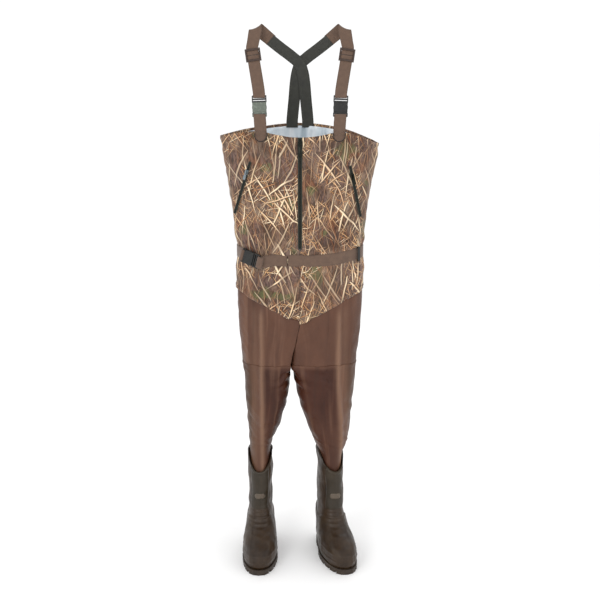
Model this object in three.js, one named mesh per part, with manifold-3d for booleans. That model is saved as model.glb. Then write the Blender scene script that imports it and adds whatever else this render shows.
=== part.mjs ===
// Chest waders with boots, hung up by their shoulder straps: camouflage bib, brown legs, rubber boots.
// Millimetres. +Z is up, the front faces -Y, and +X is the wearer's left. Heights in this file count
// from the soles, and the last step lowers the whole object so that the hanger's point is the origin.
import * as THREE from "three";
import { mergeVertices } from "three/addons/utils/BufferGeometryUtils.js";
import Module from "manifold-3d";

const wasm = await Module();
wasm.setup();

// ---------------------------------------------------------------- driving dimensions
const HANGER_Z = 1765; // underside of the shoulder folds
const CROTCH_Z = 833;
const LEG_SEAM_SLOPE = 0.4986; // the camouflage ends in a V that rises this much per mm outwards
const SHELL = 3; // fabric wall
const GAP = 0.4; // between pieces that are sewn or glued together
const WEB_WIDTH = 38;
const WEB_THICK = 1.6;
const FOLD_TILT = THREE.MathUtils.degToRad(25); // the shoulder folds slope like a coat hanger's arms

// half width, half depth and roundness of the torso against height
const TORSO_WIDTH = [
  [780, 205], [833, 208], [890, 211], [958, 213], [1000, 211], [1060, 210],
  [1125, 212], [1191, 219], [1257, 229], [1322, 244], [1386, 254], [1470, 258],
];
const TORSO_DEPTH = [[780, 102], [833, 105], [900, 106], [1060, 101], [1470, 112]];
const TORSO_ROUNDNESS = [[833, 2.15], [1060, 2.1], [1250, 1.85], [1470, 1.7]];
// height of the bib's top edge against x, at the front and at the back: it hangs a little askew
const FRONT_EDGE = [
  [-258, 1432], [-170, 1450], [-122, 1453], [-60, 1436], [0, 1432],
  [60, 1436], [122, 1451], [170, 1441], [258, 1407],
];
const BACK_EDGE = [
  [-258, 1432], [-170, 1452], [-122, 1457], [-50, 1466], [0, 1467],
  [50, 1466], [122, 1455], [170, 1443], [258, 1407],
];

const ZIP_BOTTOM_Z = 1080;
const ZIP_TOP_Z = 1424;
const ZIP_SLOT = 7; // half the opening between the front panels

const BOOTS = {
  right: { x: -137, yaw: 0 },
  left: { x: 105, yaw: THREE.MathUtils.degToRad(14) },
};
// the legs' outer and inner outlines against height, measured from the centre plane towards each side
const LEGS = {
  right: {
    side: -1,
    boot: BOOTS.right,
    outer: [
      [270, 172], [365, 172], [394, 173], [467, 178], [539, 184],
      [596, 187], [655, 190], [717, 196], [786, 205], [833, 208],
    ],
    inner: [
      [270, 102], [365, 103], [394, 97], [431, 79], [467, 65], [503, 55], [539, 45],
      [568, 38], [596, 36], [625, 34], [655, 33], [690, 30], [712, 26], [754, 18.5], [833, 1.8],
    ],
  },
  left: {
    side: 1,
    boot: BOOTS.left,
    outer: [
      [270, 140], [364, 141], [380, 155], [394, 164], [467, 172], [539, 178],
      [596, 184], [655, 190], [717, 194], [786, 201], [833, 208],
    ],
    inner: [
      [270, 70], [364, 69], [380, 58], [394, 48], [431, 34], [467, 21], [503, 10], [528, 0],
      [555, -7.5], [582, -14], [612, -19], [641, -23], [655, -26], [712, -17], [754, -14], [833, 1.8],
    ],
  },
};
const LEG_DEPTH = [[270, 62], [365, 62], [430, 70], [540, 80], [655, 90], [745, 98], [833, 105]];
const LEG_CENTRE_Y = [[270, 4], [365, 4], [430, 3], [540, 0], [833, 0]];
const LEG_ROUND = [[540, 1], [600, 0.8], [655, 0.45], [745, 0.15], [833, 0]]; // 0: flat inner side, 1: oval
const LEG_TURN = [[425, 1], [560, 0]]; // share of the boot's toe-out that the leg takes up
const HIP_BAND_BOTTOM = 713;
const HIP_BAND_SLOPE = 0.44;
const KNEE_BAND_TOP = 655;
const KNEE_BAND_BOTTOM = 425;
const CUFF_BOTTOM = 285;

// boot outline against height: toe, heel, half width at the ball, half width at the heel
const BOOT_TOE = [
  [18, -210], [45, -216], [62, -212], [76, -196], [88, -166], [100, -132],
  [115, -102], [135, -81], [165, -69], [220, -66], [362, -68],
];
const BOOT_HEEL = [[18, 86], [45, 90], [76, 89], [115, 83], [140, 79], [165, 75], [362, 76]];
const BOOT_BALL = [[18, 57], [45, 59], [76, 56], [100, 50], [135, 44], [165, 40], [362, 42.5]];
const BOOT_BACK = [[18, 42], [45, 46], [76, 47], [100, 46], [135, 43], [165, 40], [362, 42.5]];
const BOOT_RIM = 362;
const BOOT_RIM_DIP = 60; // the rim is this much lower at the front
const BOOT_WALL = 4;
const SOLE_TOP = 18;

const BELT_FRONT_Z = 1038;
const BELT_SIDE_Z = 1060;
const BELT_WIDTH = 38;

// ---------------------------------------------------------------- materials
function paint(color, roughness, metalness = 0) {
  return new THREE.MeshStandardMaterial({ color, roughness, metalness });
}
const CAMO = paint(0x6f553d, 0.85);
const NYLON = paint(0x5a3f33, 0.6);
const RUBBER = paint(0x40352b, 0.55);
const SOLE_RUBBER = paint(0x2b2520, 0.7);
const WEBBING = paint(0x63503f, 0.8);
const ELASTIC = paint(0x24261f, 0.85);
const LINING = paint(0xcfd6dc, 0.6);
const PLASTIC = paint(0x1c1c1a, 0.4);
const ZIP_TAPE = paint(0x262a22, 0.8);
const ZIP_METAL = paint(0x33352f, 0.4);
const FOAM = paint(0x4a4642, 0.9);

// ---------------------------------------------------------------- helpers
// the value at x of a table of [x, value] rows, straight between rows
function at(table, x) {
  if (x <= table[0][0]) return table[0][1];
  for (let i = 1; i < table.length; i++) {
    const [x0, v0] = table[i - 1];
    const [x1, v1] = table[i];
    if (x <= x1) return v0 + ((v1 - v0) * (x - x0)) / (x1 - x0);
  }
  return table[table.length - 1][1];
}
const lerp = THREE.MathUtils.lerp;
const vec = (x, y, z) => new THREE.Vector3(x, y, z);
const steps = (n, from, to) => Array.from({ length: n + 1 }, (_, i) => lerp(from, to, i / n));
const power = (value, exponent) => Math.sign(value) * Math.abs(value) ** exponent;

// A wall between two grids of points: a patch, or a tube where each row closes on itself.
function slab(outer, inner, closed = false) {
  const rows = outer.length;
  const cols = outer[0].length;
  const points = [...outer.flat(), ...inner.flat()];
  const id = (layer, r, c) => layer * rows * cols + r * cols + (c % cols);
  const faces = [];
  const quad = (a, b, c, d) => faces.push(a, b, c, a, c, d);
  const across = closed ? cols : cols - 1;
  for (let r = 0; r < rows - 1; r++)
    for (let c = 0; c < across; c++) {
      quad(id(0, r, c), id(0, r, c + 1), id(0, r + 1, c + 1), id(0, r + 1, c));
      quad(id(1, r, c), id(1, r + 1, c), id(1, r + 1, c + 1), id(1, r, c + 1));
    }
  for (let c = 0; c < across; c++) {
    quad(id(1, 0, c), id(1, 0, c + 1), id(0, 0, c + 1), id(0, 0, c));
    quad(id(0, rows - 1, c), id(0, rows - 1, c + 1), id(1, rows - 1, c + 1), id(1, rows - 1, c));
  }
  if (!closed)
    for (let r = 0; r < rows - 1; r++) {
      quad(id(0, r, 0), id(0, r + 1, 0), id(1, r + 1, 0), id(1, r, 0));
      quad(id(1, r, cols - 1), id(1, r + 1, cols - 1), id(0, r + 1, cols - 1), id(0, r, cols - 1));
    }
  return facingOut(points, faces);
}

// A cup: a closed outer skin and a closed inner skin that meet at the rim. Rows run from floor to rim.
function cup(outer, inner) {
  const rows = outer.length;
  const cols = outer[0].length;
  const middle = (row) => row.reduce((sum, p) => sum.add(p), vec(0, 0, 0)).divideScalar(cols);
  const points = [...outer.flat(), ...inner.flat(), middle(outer[0]), middle(inner[0])];
  const id = (layer, r, c) => layer * rows * cols + r * cols + (c % cols);
  const centre = 2 * rows * cols;
  const faces = [];
  const quad = (a, b, c, d) => faces.push(a, b, c, a, c, d);
  for (let c = 0; c < cols; c++) {
    for (let r = 0; r < rows - 1; r++) {
      quad(id(0, r, c), id(0, r, c + 1), id(0, r + 1, c + 1), id(0, r + 1, c));
      quad(id(1, r, c), id(1, r + 1, c), id(1, r + 1, c + 1), id(1, r, c + 1));
    }
    quad(id(0, rows - 1, c), id(0, rows - 1, c + 1), id(1, rows - 1, c + 1), id(1, rows - 1, c));
    faces.push(centre, id(0, 0, c + 1), id(0, 0, c), centre + 1, id(1, 0, c), id(1, 0, c + 1));
  }
  return facingOut(points, faces);
}

// a geometry whose faces point out, whichever way round they were listed
function facingOut(points, faces) {
  let volume = 0;
  for (let i = 0; i < faces.length; i += 3) {
    const [a, b, c] = [points[faces[i]], points[faces[i + 1]], points[faces[i + 2]]];
    volume += a.dot(b.clone().cross(c));
  }
  if (volume < 0) faces.reverse();
  const geometry = new THREE.BufferGeometry().setFromPoints(points);
  geometry.setIndex(faces);
  return geometry;
}

// A flat strap along stations of { at, across, out }: its centre, and the unit directions of its
// width and its thickness there.
function strap(stations, width = WEB_WIDTH, thick = WEB_THICK) {
  const corner = (s, k, sign) => {
    const edge = s.at.clone().addScaledVector(s.across, k * width * (s.stretch ?? 1));
    return edge.addScaledVector(s.out, (sign * thick) / 2);
  };
  const face = (sign) => stations.map((s) => [corner(s, -0.5, sign), corner(s, 0.5, sign)]);
  return slab(face(1), face(-1));
}

// the unit direction of a path of points at one of them
function direction(points, i) {
  const next = points[Math.min(i + 1, points.length - 1)];
  return next.clone().sub(points[Math.max(i - 1, 0)]).normalize();
}

// stations of a strap through points, whose face looks along facing
function stationsAlong(points, facing) {
  return points.map((p, i) => {
    const along = direction(points, i);
    const across = along.clone().cross(facing).normalize();
    return { at: p, across, out: across.clone().cross(along).normalize() };
  });
}

// stations of a strap that turns round a bar: its width stays along X while its face follows the path
function turning(points) {
  return points.map((p, i) => {
    const along = direction(points, i);
    const across = vec(1, 0, 0).addScaledVector(along, -along.x).normalize();
    return { at: p, across, out: across.clone().cross(along).normalize() };
  });
}

function solidOf(geometry) {
  geometry.deleteAttribute("normal");
  geometry.deleteAttribute("uv");
  const merged = mergeVertices(geometry, 1e-4);
  const vertProperties = merged.attributes.position.array;
  const triVerts = new Uint32Array(merged.index.array);
  return new wasm.Manifold(new wasm.Mesh({ numProp: 3, vertProperties, triVerts }));
}

function geometryOf(solid) {
  const mesh = solid.getMesh();
  const geometry = new THREE.BufferGeometry();
  geometry.setAttribute("position", new THREE.BufferAttribute(new Float32Array(mesh.vertProperties), 3));
  geometry.setIndex(new THREE.BufferAttribute(new Uint32Array(mesh.triVerts), 1));
  return geometry;
}

// a box between two corners, as a solid
function block(x0, x1, y0, y1, z0, z1) {
  const box = new THREE.BoxGeometry(x1 - x0, y1 - y0, z1 - z0);
  box.translate((x0 + x1) / 2, (y0 + y1) / 2, (z0 + z1) / 2);
  return solidOf(box);
}
const joined = (...solids) => solids.reduce((sum, s) => sum.add(s));

const model = new THREE.Group();
function add(name, geometry, material, parent = model) {
  const mesh = new THREE.Mesh(geometry, material);
  mesh.name = name;
  parent.add(mesh);
}

// a group at a point whose own +Z runs along up and whose -Y looks outwards
function placed(name, point, up, outwards) {
  const z = up.clone().normalize();
  const y = outwards.clone().negate();
  y.addScaledVector(z, -y.dot(z)).normalize();
  const group = new THREE.Group();
  group.name = name;
  group.quaternion.setFromRotationMatrix(new THREE.Matrix4().makeBasis(y.clone().cross(z), y, z));
  group.position.copy(point);
  model.add(group);
  return group;
}

// ---------------------------------------------------------------- torso
const FRONT = -Math.PI / 2;
const WEARER_LEFT = 0;
const WEARER_RIGHT = Math.PI;

// a point on the torso at an angle and height, off mm outside its surface
function torsoPoint(angle, z, off = 0) {
  const bend = 2 / at(TORSO_ROUNDNESS, z);
  const x = (at(TORSO_WIDTH, z) + off) * power(Math.cos(angle), bend);
  const y = (at(TORSO_DEPTH, z) + off) * power(Math.sin(angle), bend);
  return vec(x, y, z);
}

// the angle at which the torso's section reaches x, at the front
function frontAngle(x, z) {
  const share = Math.min(1, Math.abs(x) / at(TORSO_WIDTH, z)) ** (at(TORSO_ROUNDNESS, z) / 2);
  return x < 0 ? -Math.PI + Math.acos(share) : -Math.acos(share);
}

// the torso's outward direction where its front surface is at x
function frontNormal(x, z) {
  const angle = frontAngle(x, z);
  const along = torsoPoint(angle + 0.02, z).sub(torsoPoint(angle - 0.02, z));
  return vec(along.y, -along.x, 0).normalize();
}

const topEdge = (angle) => {
  const { x } = torsoPoint(angle, 1440);
  return at(Math.sin(angle) < 0 ? FRONT_EDGE : BACK_EDGE, x);
};
const legSeam = (angle) => CROTCH_Z + LEG_SEAM_SLOPE * Math.abs(torsoPoint(angle, 860).x);

// a wall of the torso between two angles, from its bottom to its top edge
function torsoWall(angles, rows, bottom, top, offOut, offIn, closed = false) {
  const height = (angle, share) => lerp(bottom(angle), top(angle), share);
  const row = (share, off) => angles(share).map((angle) => torsoPoint(angle, height(angle, share), off));
  const grid = (off) => rows.map((share) => row(share, off));
  return slab(grid(offOut), grid(offIn), closed);
}

const SEAM_ANGLE = 0.008; // keeps the front and back panels apart at the side seams
for (const [name, seam, sign] of [["left", WEARER_LEFT, -1], ["right", WEARER_RIGHT, 1]]) {
  // the inner edge follows the zip opening, and below the zip it is the centre seam
  const angles = (share) => {
    const z = lerp(CROTCH_Z, 1432, share);
    const slot = z > ZIP_BOTTOM_Z - 5 ? ZIP_SLOT : GAP;
    const edge = frontAngle(sign < 0 ? slot : -slot, z);
    const from = seam + sign * SEAM_ANGLE;
    const to = sign < 0 ? edge : edge + 2 * Math.PI;
    return steps(9, from, to);
  };
  const rows = [0, 0.12, 0.25, 0.4, 0.411, 0.55, 0.7, 0.85, 1];
  add(`bib_front_${name}`, torsoWall(angles, rows, legSeam, topEdge, 0, -SHELL), CAMO);
}
const backAngles = () => steps(18, SEAM_ANGLE, Math.PI - SEAM_ANGLE);
add("bib_back", torsoWall(backAngles, steps(7, 0, 1), legSeam, topEdge, 0, -SHELL), CAMO);
const belowTop = (drop) => (angle) => topEdge(angle) - drop;
const ring = () => steps(23, 0, 2 * Math.PI * (23 / 24));
const LINING_BOTTOM = () => 955;
add("lining", torsoWall(ring, steps(4, 0, 1), LINING_BOTTOM, belowTop(20), -12, -13.5, true), LINING);
const HEM_GAP = 0.16; // angle left open at each side of the zip
const hemAngles = () => steps(28, FRONT + HEM_GAP, FRONT + 2 * Math.PI - HEM_GAP);
add("top_hem", torsoWall(hemAngles, [0, 1], belowTop(17), belowTop(0.6), -6.6, -8.2), CAMO);
const gussetReach = at(TORSO_DEPTH, CROTCH_Z) - 6;
const gusset = block(-9, 9, -gussetReach, gussetReach, CROTCH_Z + 2.6, CROTCH_Z + 5);
add("crotch_gusset", geometryOf(gusset), NYLON);

// ---------------------------------------------------------------- main zip
const zipFoot = torsoPoint(FRONT, ZIP_BOTTOM_Z);
const zipHead = torsoPoint(FRONT, ZIP_TOP_Z);
const zipLength = zipHead.distanceTo(zipFoot);
const zipUp = zipHead.clone().sub(zipFoot);
const mainZip = placed("main_zip_frame", zipFoot, zipUp, vec(0, -1, 0));
add("main_zip_tape", geometryOf(block(-15, 15, 4.5, 5.7, -4, zipLength)), ZIP_TAPE, mainZip);
add("main_zip_teeth", geometryOf(block(-3, 3, 0.6, 3.1, 0, zipLength - 1)), ZIP_METAL, mainZip);
add("main_zip_flap", geometryOf(block(-30, 30, 6.2, 7.6, -20, zipLength - 22)), LINING, mainZip);

// a slider: a plate over the teeth with a flange down each side, and an arch that holds the pull
function sliderGeometry() {
  return geometryOf(
    joined(
      block(-5.5, 5.5, -2, 0.2, -7.5, 7.5),
      block(-5.5, -3.5, 0, 2.6, -7.5, 7.5),
      block(3.5, 5.5, 0, 2.6, -7.5, 7.5),
      block(-1.5, 1.5, -6.5, -5, -5.5, 5.5),
      block(-1.5, 1.5, -6, -1.8, -5.5, -3.8),
      block(-1.5, 1.5, -6, -1.8, 3.8, 5.5),
    ),
  );
}
// a pull: a pin under the slider's arch, two cheeks beside it and a tab; the pin is at the origin
function pullGeometry(length) {
  return geometryOf(
    joined(
      block(-3.8, 3.8, -0.7, 0.7, -0.7, 0.7),
      block(-3.8, -2, -0.7, 0.7, -9, 0.7),
      block(2, 3.8, -0.7, 0.7, -9, 0.7),
      block(-3.8, 3.8, -0.7, 0.7, -12, -8),
      block(-3, 3, -0.8, 0.8, 12 - length, -10),
      block(-4.5, 4.5, -1.1, 1.1, -length, 14 - length),
    ),
  );
}
const PULL_PIN_Y = -3.6;
function addSlider(zip, name, height, pullLength) {
  const slider = new THREE.Group();
  slider.name = `${name}_slider_frame`;
  slider.position.set(0, 0, height);
  zip.add(slider);
  add(`${name}_slider`, sliderGeometry(), ZIP_METAL, slider);
  const pull = new THREE.Group();
  pull.name = `${name}_pull_frame`;
  pull.position.set(0, PULL_PIN_Y, 0);
  slider.add(pull);
  add(`${name}_pull`, pullGeometry(pullLength), ZIP_METAL, pull);
}
addSlider(mainZip, "main_zip", zipLength - 10, 42);

// ---------------------------------------------------------------- pockets
const POCKETS = {
  right: { top: [-152, 1353], bottom: [-202, 1189] },
  left: { top: [155, 1340], bottom: [190, 1180] },
};
// a straight zip stands this far off the curved bib at its ends
const POCKET_LIFT = { right: 9, left: 5.5 };
const [POCKET_FLOOR, POCKET_MIDDLE, POCKET_CEILING] = [1165, 1270, 1345];
for (const [name, { top, bottom }] of Object.entries(POCKETS)) {
  const onBib = ([x, z], off) => torsoPoint(frontAngle(x, z), z, off);
  const foot = onBib(bottom, POCKET_LIFT[name]);
  const head = onBib(top, POCKET_LIFT[name]);
  const length = head.distanceTo(foot);
  const outwards = frontNormal((top[0] + bottom[0]) / 2, (top[1] + bottom[1]) / 2);
  const zip = placed(`pocket_zip_${name}_frame`, foot, head.clone().sub(foot), outwards);
  const chain = joined(block(-8, 8, 0, 1.2, -3, length + 3), block(-2.6, 2.6, -2, 0.3, 0, length));
  add(`pocket_zip_${name}`, geometryOf(chain), ZIP_TAPE, zip);
  // the slider's own origin is 2.9 mm in front of the tape, so that its flanges clear it
  const rail = new THREE.Group();
  rail.position.set(0, -2.9, 0);
  zip.add(rail);
  addSlider(rail, `pocket_${name}`, length - 32, 26);
  const bagSides = [top[0] * 0.72, bottom[0] * 0.98].map((x) => frontAngle(x, POCKET_MIDDLE));
  const bagAngles = () => steps(4, ...bagSides);
  const bagRange = [() => POCKET_FLOOR, () => POCKET_CEILING];
  add(`pocket_bag_${name}`, torsoWall(bagAngles, steps(3, 0, 1), ...bagRange, -4.2, -6.4), LINING);
}

// ---------------------------------------------------------------- buckles
// One side release buckle in its own frame: strap direction +Z, face -Y. The socket is round the origin.
const BUCKLE_HALF = 22;
function socketGeometry() {
  const body = joined(
    block(-BUCKLE_HALF, BUCKLE_HALF, -6, 6, -9, 22),
    block(-19, 19, -5, 5, -12, -8),
    block(-23, 23, -5, 5, -22, -11),
  );
  const cavity = block(-19, 19, -3.6, 3.6, -8, 23);
  const windows = block(-24, 24, -3.6, 3.6, -6, 13);
  const slot = block(-19.6, 19.6, -7, 7, -18.6, -14);
  return geometryOf(body.subtract(cavity).subtract(windows).subtract(slot));
}
function plugGeometry() {
  const frame = block(-23, 23, -3, 3, 22.6, 44);
  const lowSlot = block(-19.6, 19.6, -4, 4, 27, 30.5);
  const highSlot = block(-19.6, 19.6, -4, 4, 34.5, 40.5);
  const guide = block(-4, 4, -2.6, 2.6, -6, 23);
  return geometryOf(joined(frame.subtract(lowSlot).subtract(highSlot), guide));
}
// a latch arm: a springy bar whose button fills the socket's side window
function armGeometry(side) {
  const outline = new THREE.Shape();
  const points = [[13, 22.2], [17, 22.2], [18, 13], [22.6, 11.5], [23, 4], [21, -3], [16, -5.5], [13, -2]];
  points.forEach(([x, z], i) => (i ? outline.lineTo(x * side, z) : outline.moveTo(x * side, z)));
  const geometry = new THREE.ExtrudeGeometry(outline, { depth: 6, bevelEnabled: false });
  geometry.rotateX(Math.PI / 2).translate(0, 3, 0);
  return geometryOf(solidOf(geometry));
}
function addBuckle(name, frame) {
  add(`${name}_socket`, socketGeometry(), PLASTIC, frame);
  add(`${name}_plug`, plugGeometry(), PLASTIC, frame);
  add(`${name}_arm_a`, armGeometry(-1), PLASTIC, frame);
  add(`${name}_arm_b`, armGeometry(1), PLASTIC, frame);
}
function adjusterGeometry() {
  const half = 19.5;
  return geometryOf(
    joined(
      block(-23.5, -19.8, -3.2, 3.2, -half, half),
      block(19.8, 23.5, -3.2, 3.2, -half, half),
      block(-20, 20, -3.2, -1.2, half - 5, half),
      block(-20, 20, -3.2, -1.2, -half, 5 - half),
      block(-20, 20, 1.2, 3.2, -3, 3),
    ),
  );
}

// ---------------------------------------------------------------- shoulder straps
const STRAP_LEAN = 83 / 290; // how far a front strap goes back per mm of height
const strapPoint = (side, x, z) => vec(side * x, -93 + (z - 1452) * STRAP_LEAN, z);
const BUCKLE_Z = 1517;
const ADJUSTER_Z = 1683;
const ELASTIC_THICK = 1.8;
const FOLD_RADIUS = 7;
const FOLD_FACETS = 8; // even, so that one station lies at the crest
const FOLD_HALF_TURN = THREE.MathUtils.degToRad(72);

// a direction, turned round if its part along an axis is negative
const turnedTo = (v, axis) => (v[axis] < 0 ? v.clone().negate() : v);

// stations of the front strap's upper run, which faces forwards
function frontStations(points) {
  return stationsAlong(points, vec(0, -1, STRAP_LEAN)).map(({ at, across, out }) => {
    return { at, across: turnedTo(across, "x"), out: turnedTo(out, "y").clone().negate() };
  });
}

for (const side of [1, -1]) {
  const name = side > 0 ? "left" : "right";
  const face = vec(0, -1, STRAP_LEAN).normalize(); // the way the front strap's face looks
  const buckleUp = strapPoint(side, 129, 1562).sub(strapPoint(side, 126, 1480));
  const buckle = placed(`buckle_${name}_frame`, strapPoint(side, 126.5, BUCKLE_Z), buckleUp, face);
  buckle.updateMatrixWorld(true);
  const inBuckle = (y, z) => buckle.localToWorld(vec(0, y, z));
  addBuckle(`buckle_${name}`, buckle);

  // bib end: up the bib's face, round the socket's bar and back down
  const anchorFoot = strapPoint(side, 122, 1426).add(vec(0, -3, 0));
  const anchor = [
    anchorFoot,
    strapPoint(side, 123, 1455).add(vec(0, -4, 0)),
    inBuckle(-6.4, -22),
    inBuckle(-6.2, -17.4),
    inBuckle(-3, -15.6),
    inBuckle(3, -15.6),
    inBuckle(6.2, -17.4),
    inBuckle(6.4, -22),
    strapPoint(side, 124, 1470).add(vec(0, 3.2, 0)),
  ];
  add(`strap_anchor_${name}`, strap(turning(anchor)), WEBBING);

  // from the adjuster down round the plug's bar and back up behind
  const adjusterAt = strapPoint(side, 147, ADJUSTER_Z);
  const runUp = adjusterAt.clone().sub(inBuckle(0, 42)).normalize();
  const adjuster = placed(`adjuster_${name}_frame`, adjusterAt, runUp, face);
  adjuster.updateMatrixWorld(true);
  const inAdjuster = (y, z) => adjuster.localToWorld(vec(0, y, z));
  add(`adjuster_${name}`, adjusterGeometry(), PLASTIC, adjuster);
  const lower = [
    inAdjuster(0, -0.3),
    inAdjuster(0, -24),
    inBuckle(-4.2, 46),
    inBuckle(-4.2, 40),
    inBuckle(-2.4, 37.6),
    inBuckle(2.4, 37.6),
    inBuckle(4.2, 40),
    inBuckle(4.4, 46),
    inAdjuster(4.6, -26),
    inAdjuster(2.4, -4.2),
  ];
  add(`webbing_lower_${name}`, strap(turning(lower)), WEBBING);

  // over the shoulder fold: a helix round the hanger's sloping arm, then diagonally down the back
  const foldAxis = vec(Math.cos(FOLD_TILT), 0, -side * Math.sin(FOLD_TILT));
  const foldUp = vec(side * Math.sin(FOLD_TILT), 0, Math.cos(FOLD_TILT));
  const foldCentre = vec(side * 138, 0, HANGER_Z).addScaledVector(foldUp, WEB_THICK / 2 - FOLD_RADIUS);
  const wrap = steps(FOLD_FACETS, -FOLD_HALF_TURN, FOLD_HALF_TURN).map((turn) => {
    const out = foldUp.clone().multiplyScalar(Math.cos(turn)).add(vec(0, Math.sin(turn), 0));
    const drift = -side * FOLD_RADIUS * turn * Math.tan(FOLD_TILT);
    const centre = foldCentre.clone().addScaledVector(out, FOLD_RADIUS);
    return {
      at: centre.addScaledVector(foldAxis, drift),
      across: foldAxis,
      out,
      stretch: 1 / Math.cos(FOLD_TILT),
    };
  });
  // one facet lies square across the top of the fold, so its underside is a flat seat for a hanger
  const crest = wrap[FOLD_FACETS / 2];
  const seat = [-1.6, 1.6].map((d) => ({ ...crest, at: crest.at.clone().add(vec(0, d, 0)) }));
  wrap.splice(FOLD_FACETS / 2, 1, ...seat);
  const frontRun = frontStations([inAdjuster(0, 0.3), inAdjuster(0, 22), strapPoint(side, 146.5, 1735)]);
  const backDown = vec(-side * 129, 54, -106).normalize();
  const wrapEnd = wrap[wrap.length - 1].at;
  const downBack = (distance) => wrapEnd.clone().addScaledVector(backDown, distance);
  // black elastic: crosses the other one at the back and is sewn inside the back hem
  const layer = side * 2.1; // one elastic lies behind the other where they cross
  const elastic = [
    downBack(94.5),
    vec(side * 24, 50 + layer, 1677),
    vec(side * 2, 60 + layer, 1657),
    vec(-side * 8, 68 + layer, 1633),
    vec(-side * 14, 76 + layer, 1600),
    vec(-side * 19, 88 + layer, 1545),
    vec(-side * 24, 97 + layer * 0.6, 1495),
    vec(-side * 26, 98.6, 1470),
    vec(-side * 26, 98.6, 1452),
  ];
  const elasticStations = stationsAlong(elastic, vec(0, 1, 0.3));
  add(`back_elastic_${name}`, strap(elasticStations, WEB_WIDTH, ELASTIC_THICK), ELASTIC);

  // between the fold and the elastic the strap turns to face the way the elastic does
  const [{ across, out }] = elasticStations;
  const last = { across: turnedTo(across, "x"), out: turnedTo(out, "y") };
  const backRun = [30, 61, 92].map((d) => {
    const share = d / 92;
    const half = wrap[wrap.length - 1].across.clone().lerp(last.across, share);
    half.addScaledVector(backDown, -half.dot(backDown)).normalize();
    return { at: downBack(d), across: half, out: turnedTo(half.clone().cross(backDown), "y") };
  });
  add(`webbing_shoulder_${name}`, strap([...frontRun, ...wrap, ...backRun]), WEBBING);
}

// ---------------------------------------------------------------- belt
const beltZ = (angle) => lerp(BELT_SIDE_Z, BELT_FRONT_Z, Math.max(0, -Math.sin(angle)) ** 2);
const beltPoint = (angle, off) => torsoPoint(angle, beltZ(angle), off);
const BUCKLE_ANGLE = frontAngle(-158, 1048);
function beltFrame(name, angle, off, slope = 0) {
  const along = beltPoint(angle + 0.03, off).sub(beltPoint(angle - 0.03, off));
  along.z = slope;
  const outwards = vec(along.y, -along.x, 0);
  return placed(name, beltPoint(angle, off), along, outwards);
}
const beltBuckle = beltFrame("buckle_belt_frame", BUCKLE_ANGLE, 14, -3);
addBuckle("buckle_belt", beltBuckle);
beltBuckle.updateMatrixWorld(true);
const BELT_OFF = 2.5; // the belt's middle stands this far off the bib
const beltWidthway = vec(1, 0, 0).transformDirection(beltBuckle.matrixWorld);
const ringStation = (angle) => {
  const along = beltPoint(angle + 0.02, BELT_OFF).sub(beltPoint(angle - 0.02, BELT_OFF));
  const out = vec(along.y, -along.x, 0).normalize();
  return { at: beltPoint(angle, BELT_OFF), across: vec(0, 0, 1), out };
};
// stations at [y, z] points of the belt buckle's frame
const buckleStations = (points) => {
  const world = points.map(([y, z]) => beltBuckle.localToWorld(vec(0, y, z)));
  const across = turnedTo(beltWidthway, "z");
  return world.map((p, i) => ({ at: p, across, out: direction(world, i).cross(across).normalize() }));
};
const ringStart = BUCKLE_ANGLE + 0.66;
const ringEnd = BUCKLE_ANGLE - 0.44 + 2 * Math.PI;
const socketLoop = [
  [7.6, -24], [6.6, -17.6], [3, -15.6], [-3, -15.6], [-6.6, -17.6], [-7.4, -24], [-4, -48],
];
const plugLoop = [[-3.6, 62], [-5.4, 48], [-4.4, 40], [-2.4, 37.6], [2.4, 37.6], [4.4, 40], [6.2, 48]];
const BELT_THICK = 1.8;
const belt = [...steps(46, ringStart, ringEnd).map(ringStation), ...buckleStations(socketLoop)];
add("belt_webbing", strap(belt, BELT_WIDTH, BELT_THICK), WEBBING);
const tailEnd = [BUCKLE_ANGLE + 0.5, ringStart - 0.012].map(ringStation);
add("belt_tail", strap([...buckleStations(plugLoop), ...tailEnd], BELT_WIDTH, BELT_THICK), WEBBING);
const keeper = beltFrame("belt_keeper_frame", frontAngle(186, 1056), 3.2);
const keeperShape = joined(
  block(-24, 24, -4.4, -2.2, -5, 5),
  block(-24, -20.5, -4.4, 1.9, -5, 5),
  block(20.5, 24, -4.4, 1.9, -5, 5),
);
add("belt_keeper", geometryOf(keeperShape), PLASTIC, keeper);
const loopShape = joined(
  block(-27, 27, -3.6, -2.1, -6, 6),
  block(-27, -21, -3.6, 1.6, -6, 6),
  block(21, 27, -3.6, 1.6, -6, 6),
);
for (const [name, angle] of [["left", 0.62], ["right", Math.PI - 0.62]]) {
  const loop = beltFrame(`belt_loop_${name}_frame`, angle, BELT_OFF);
  add(`belt_loop_${name}`, geometryOf(loopShape), CAMO, loop);
}

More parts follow.
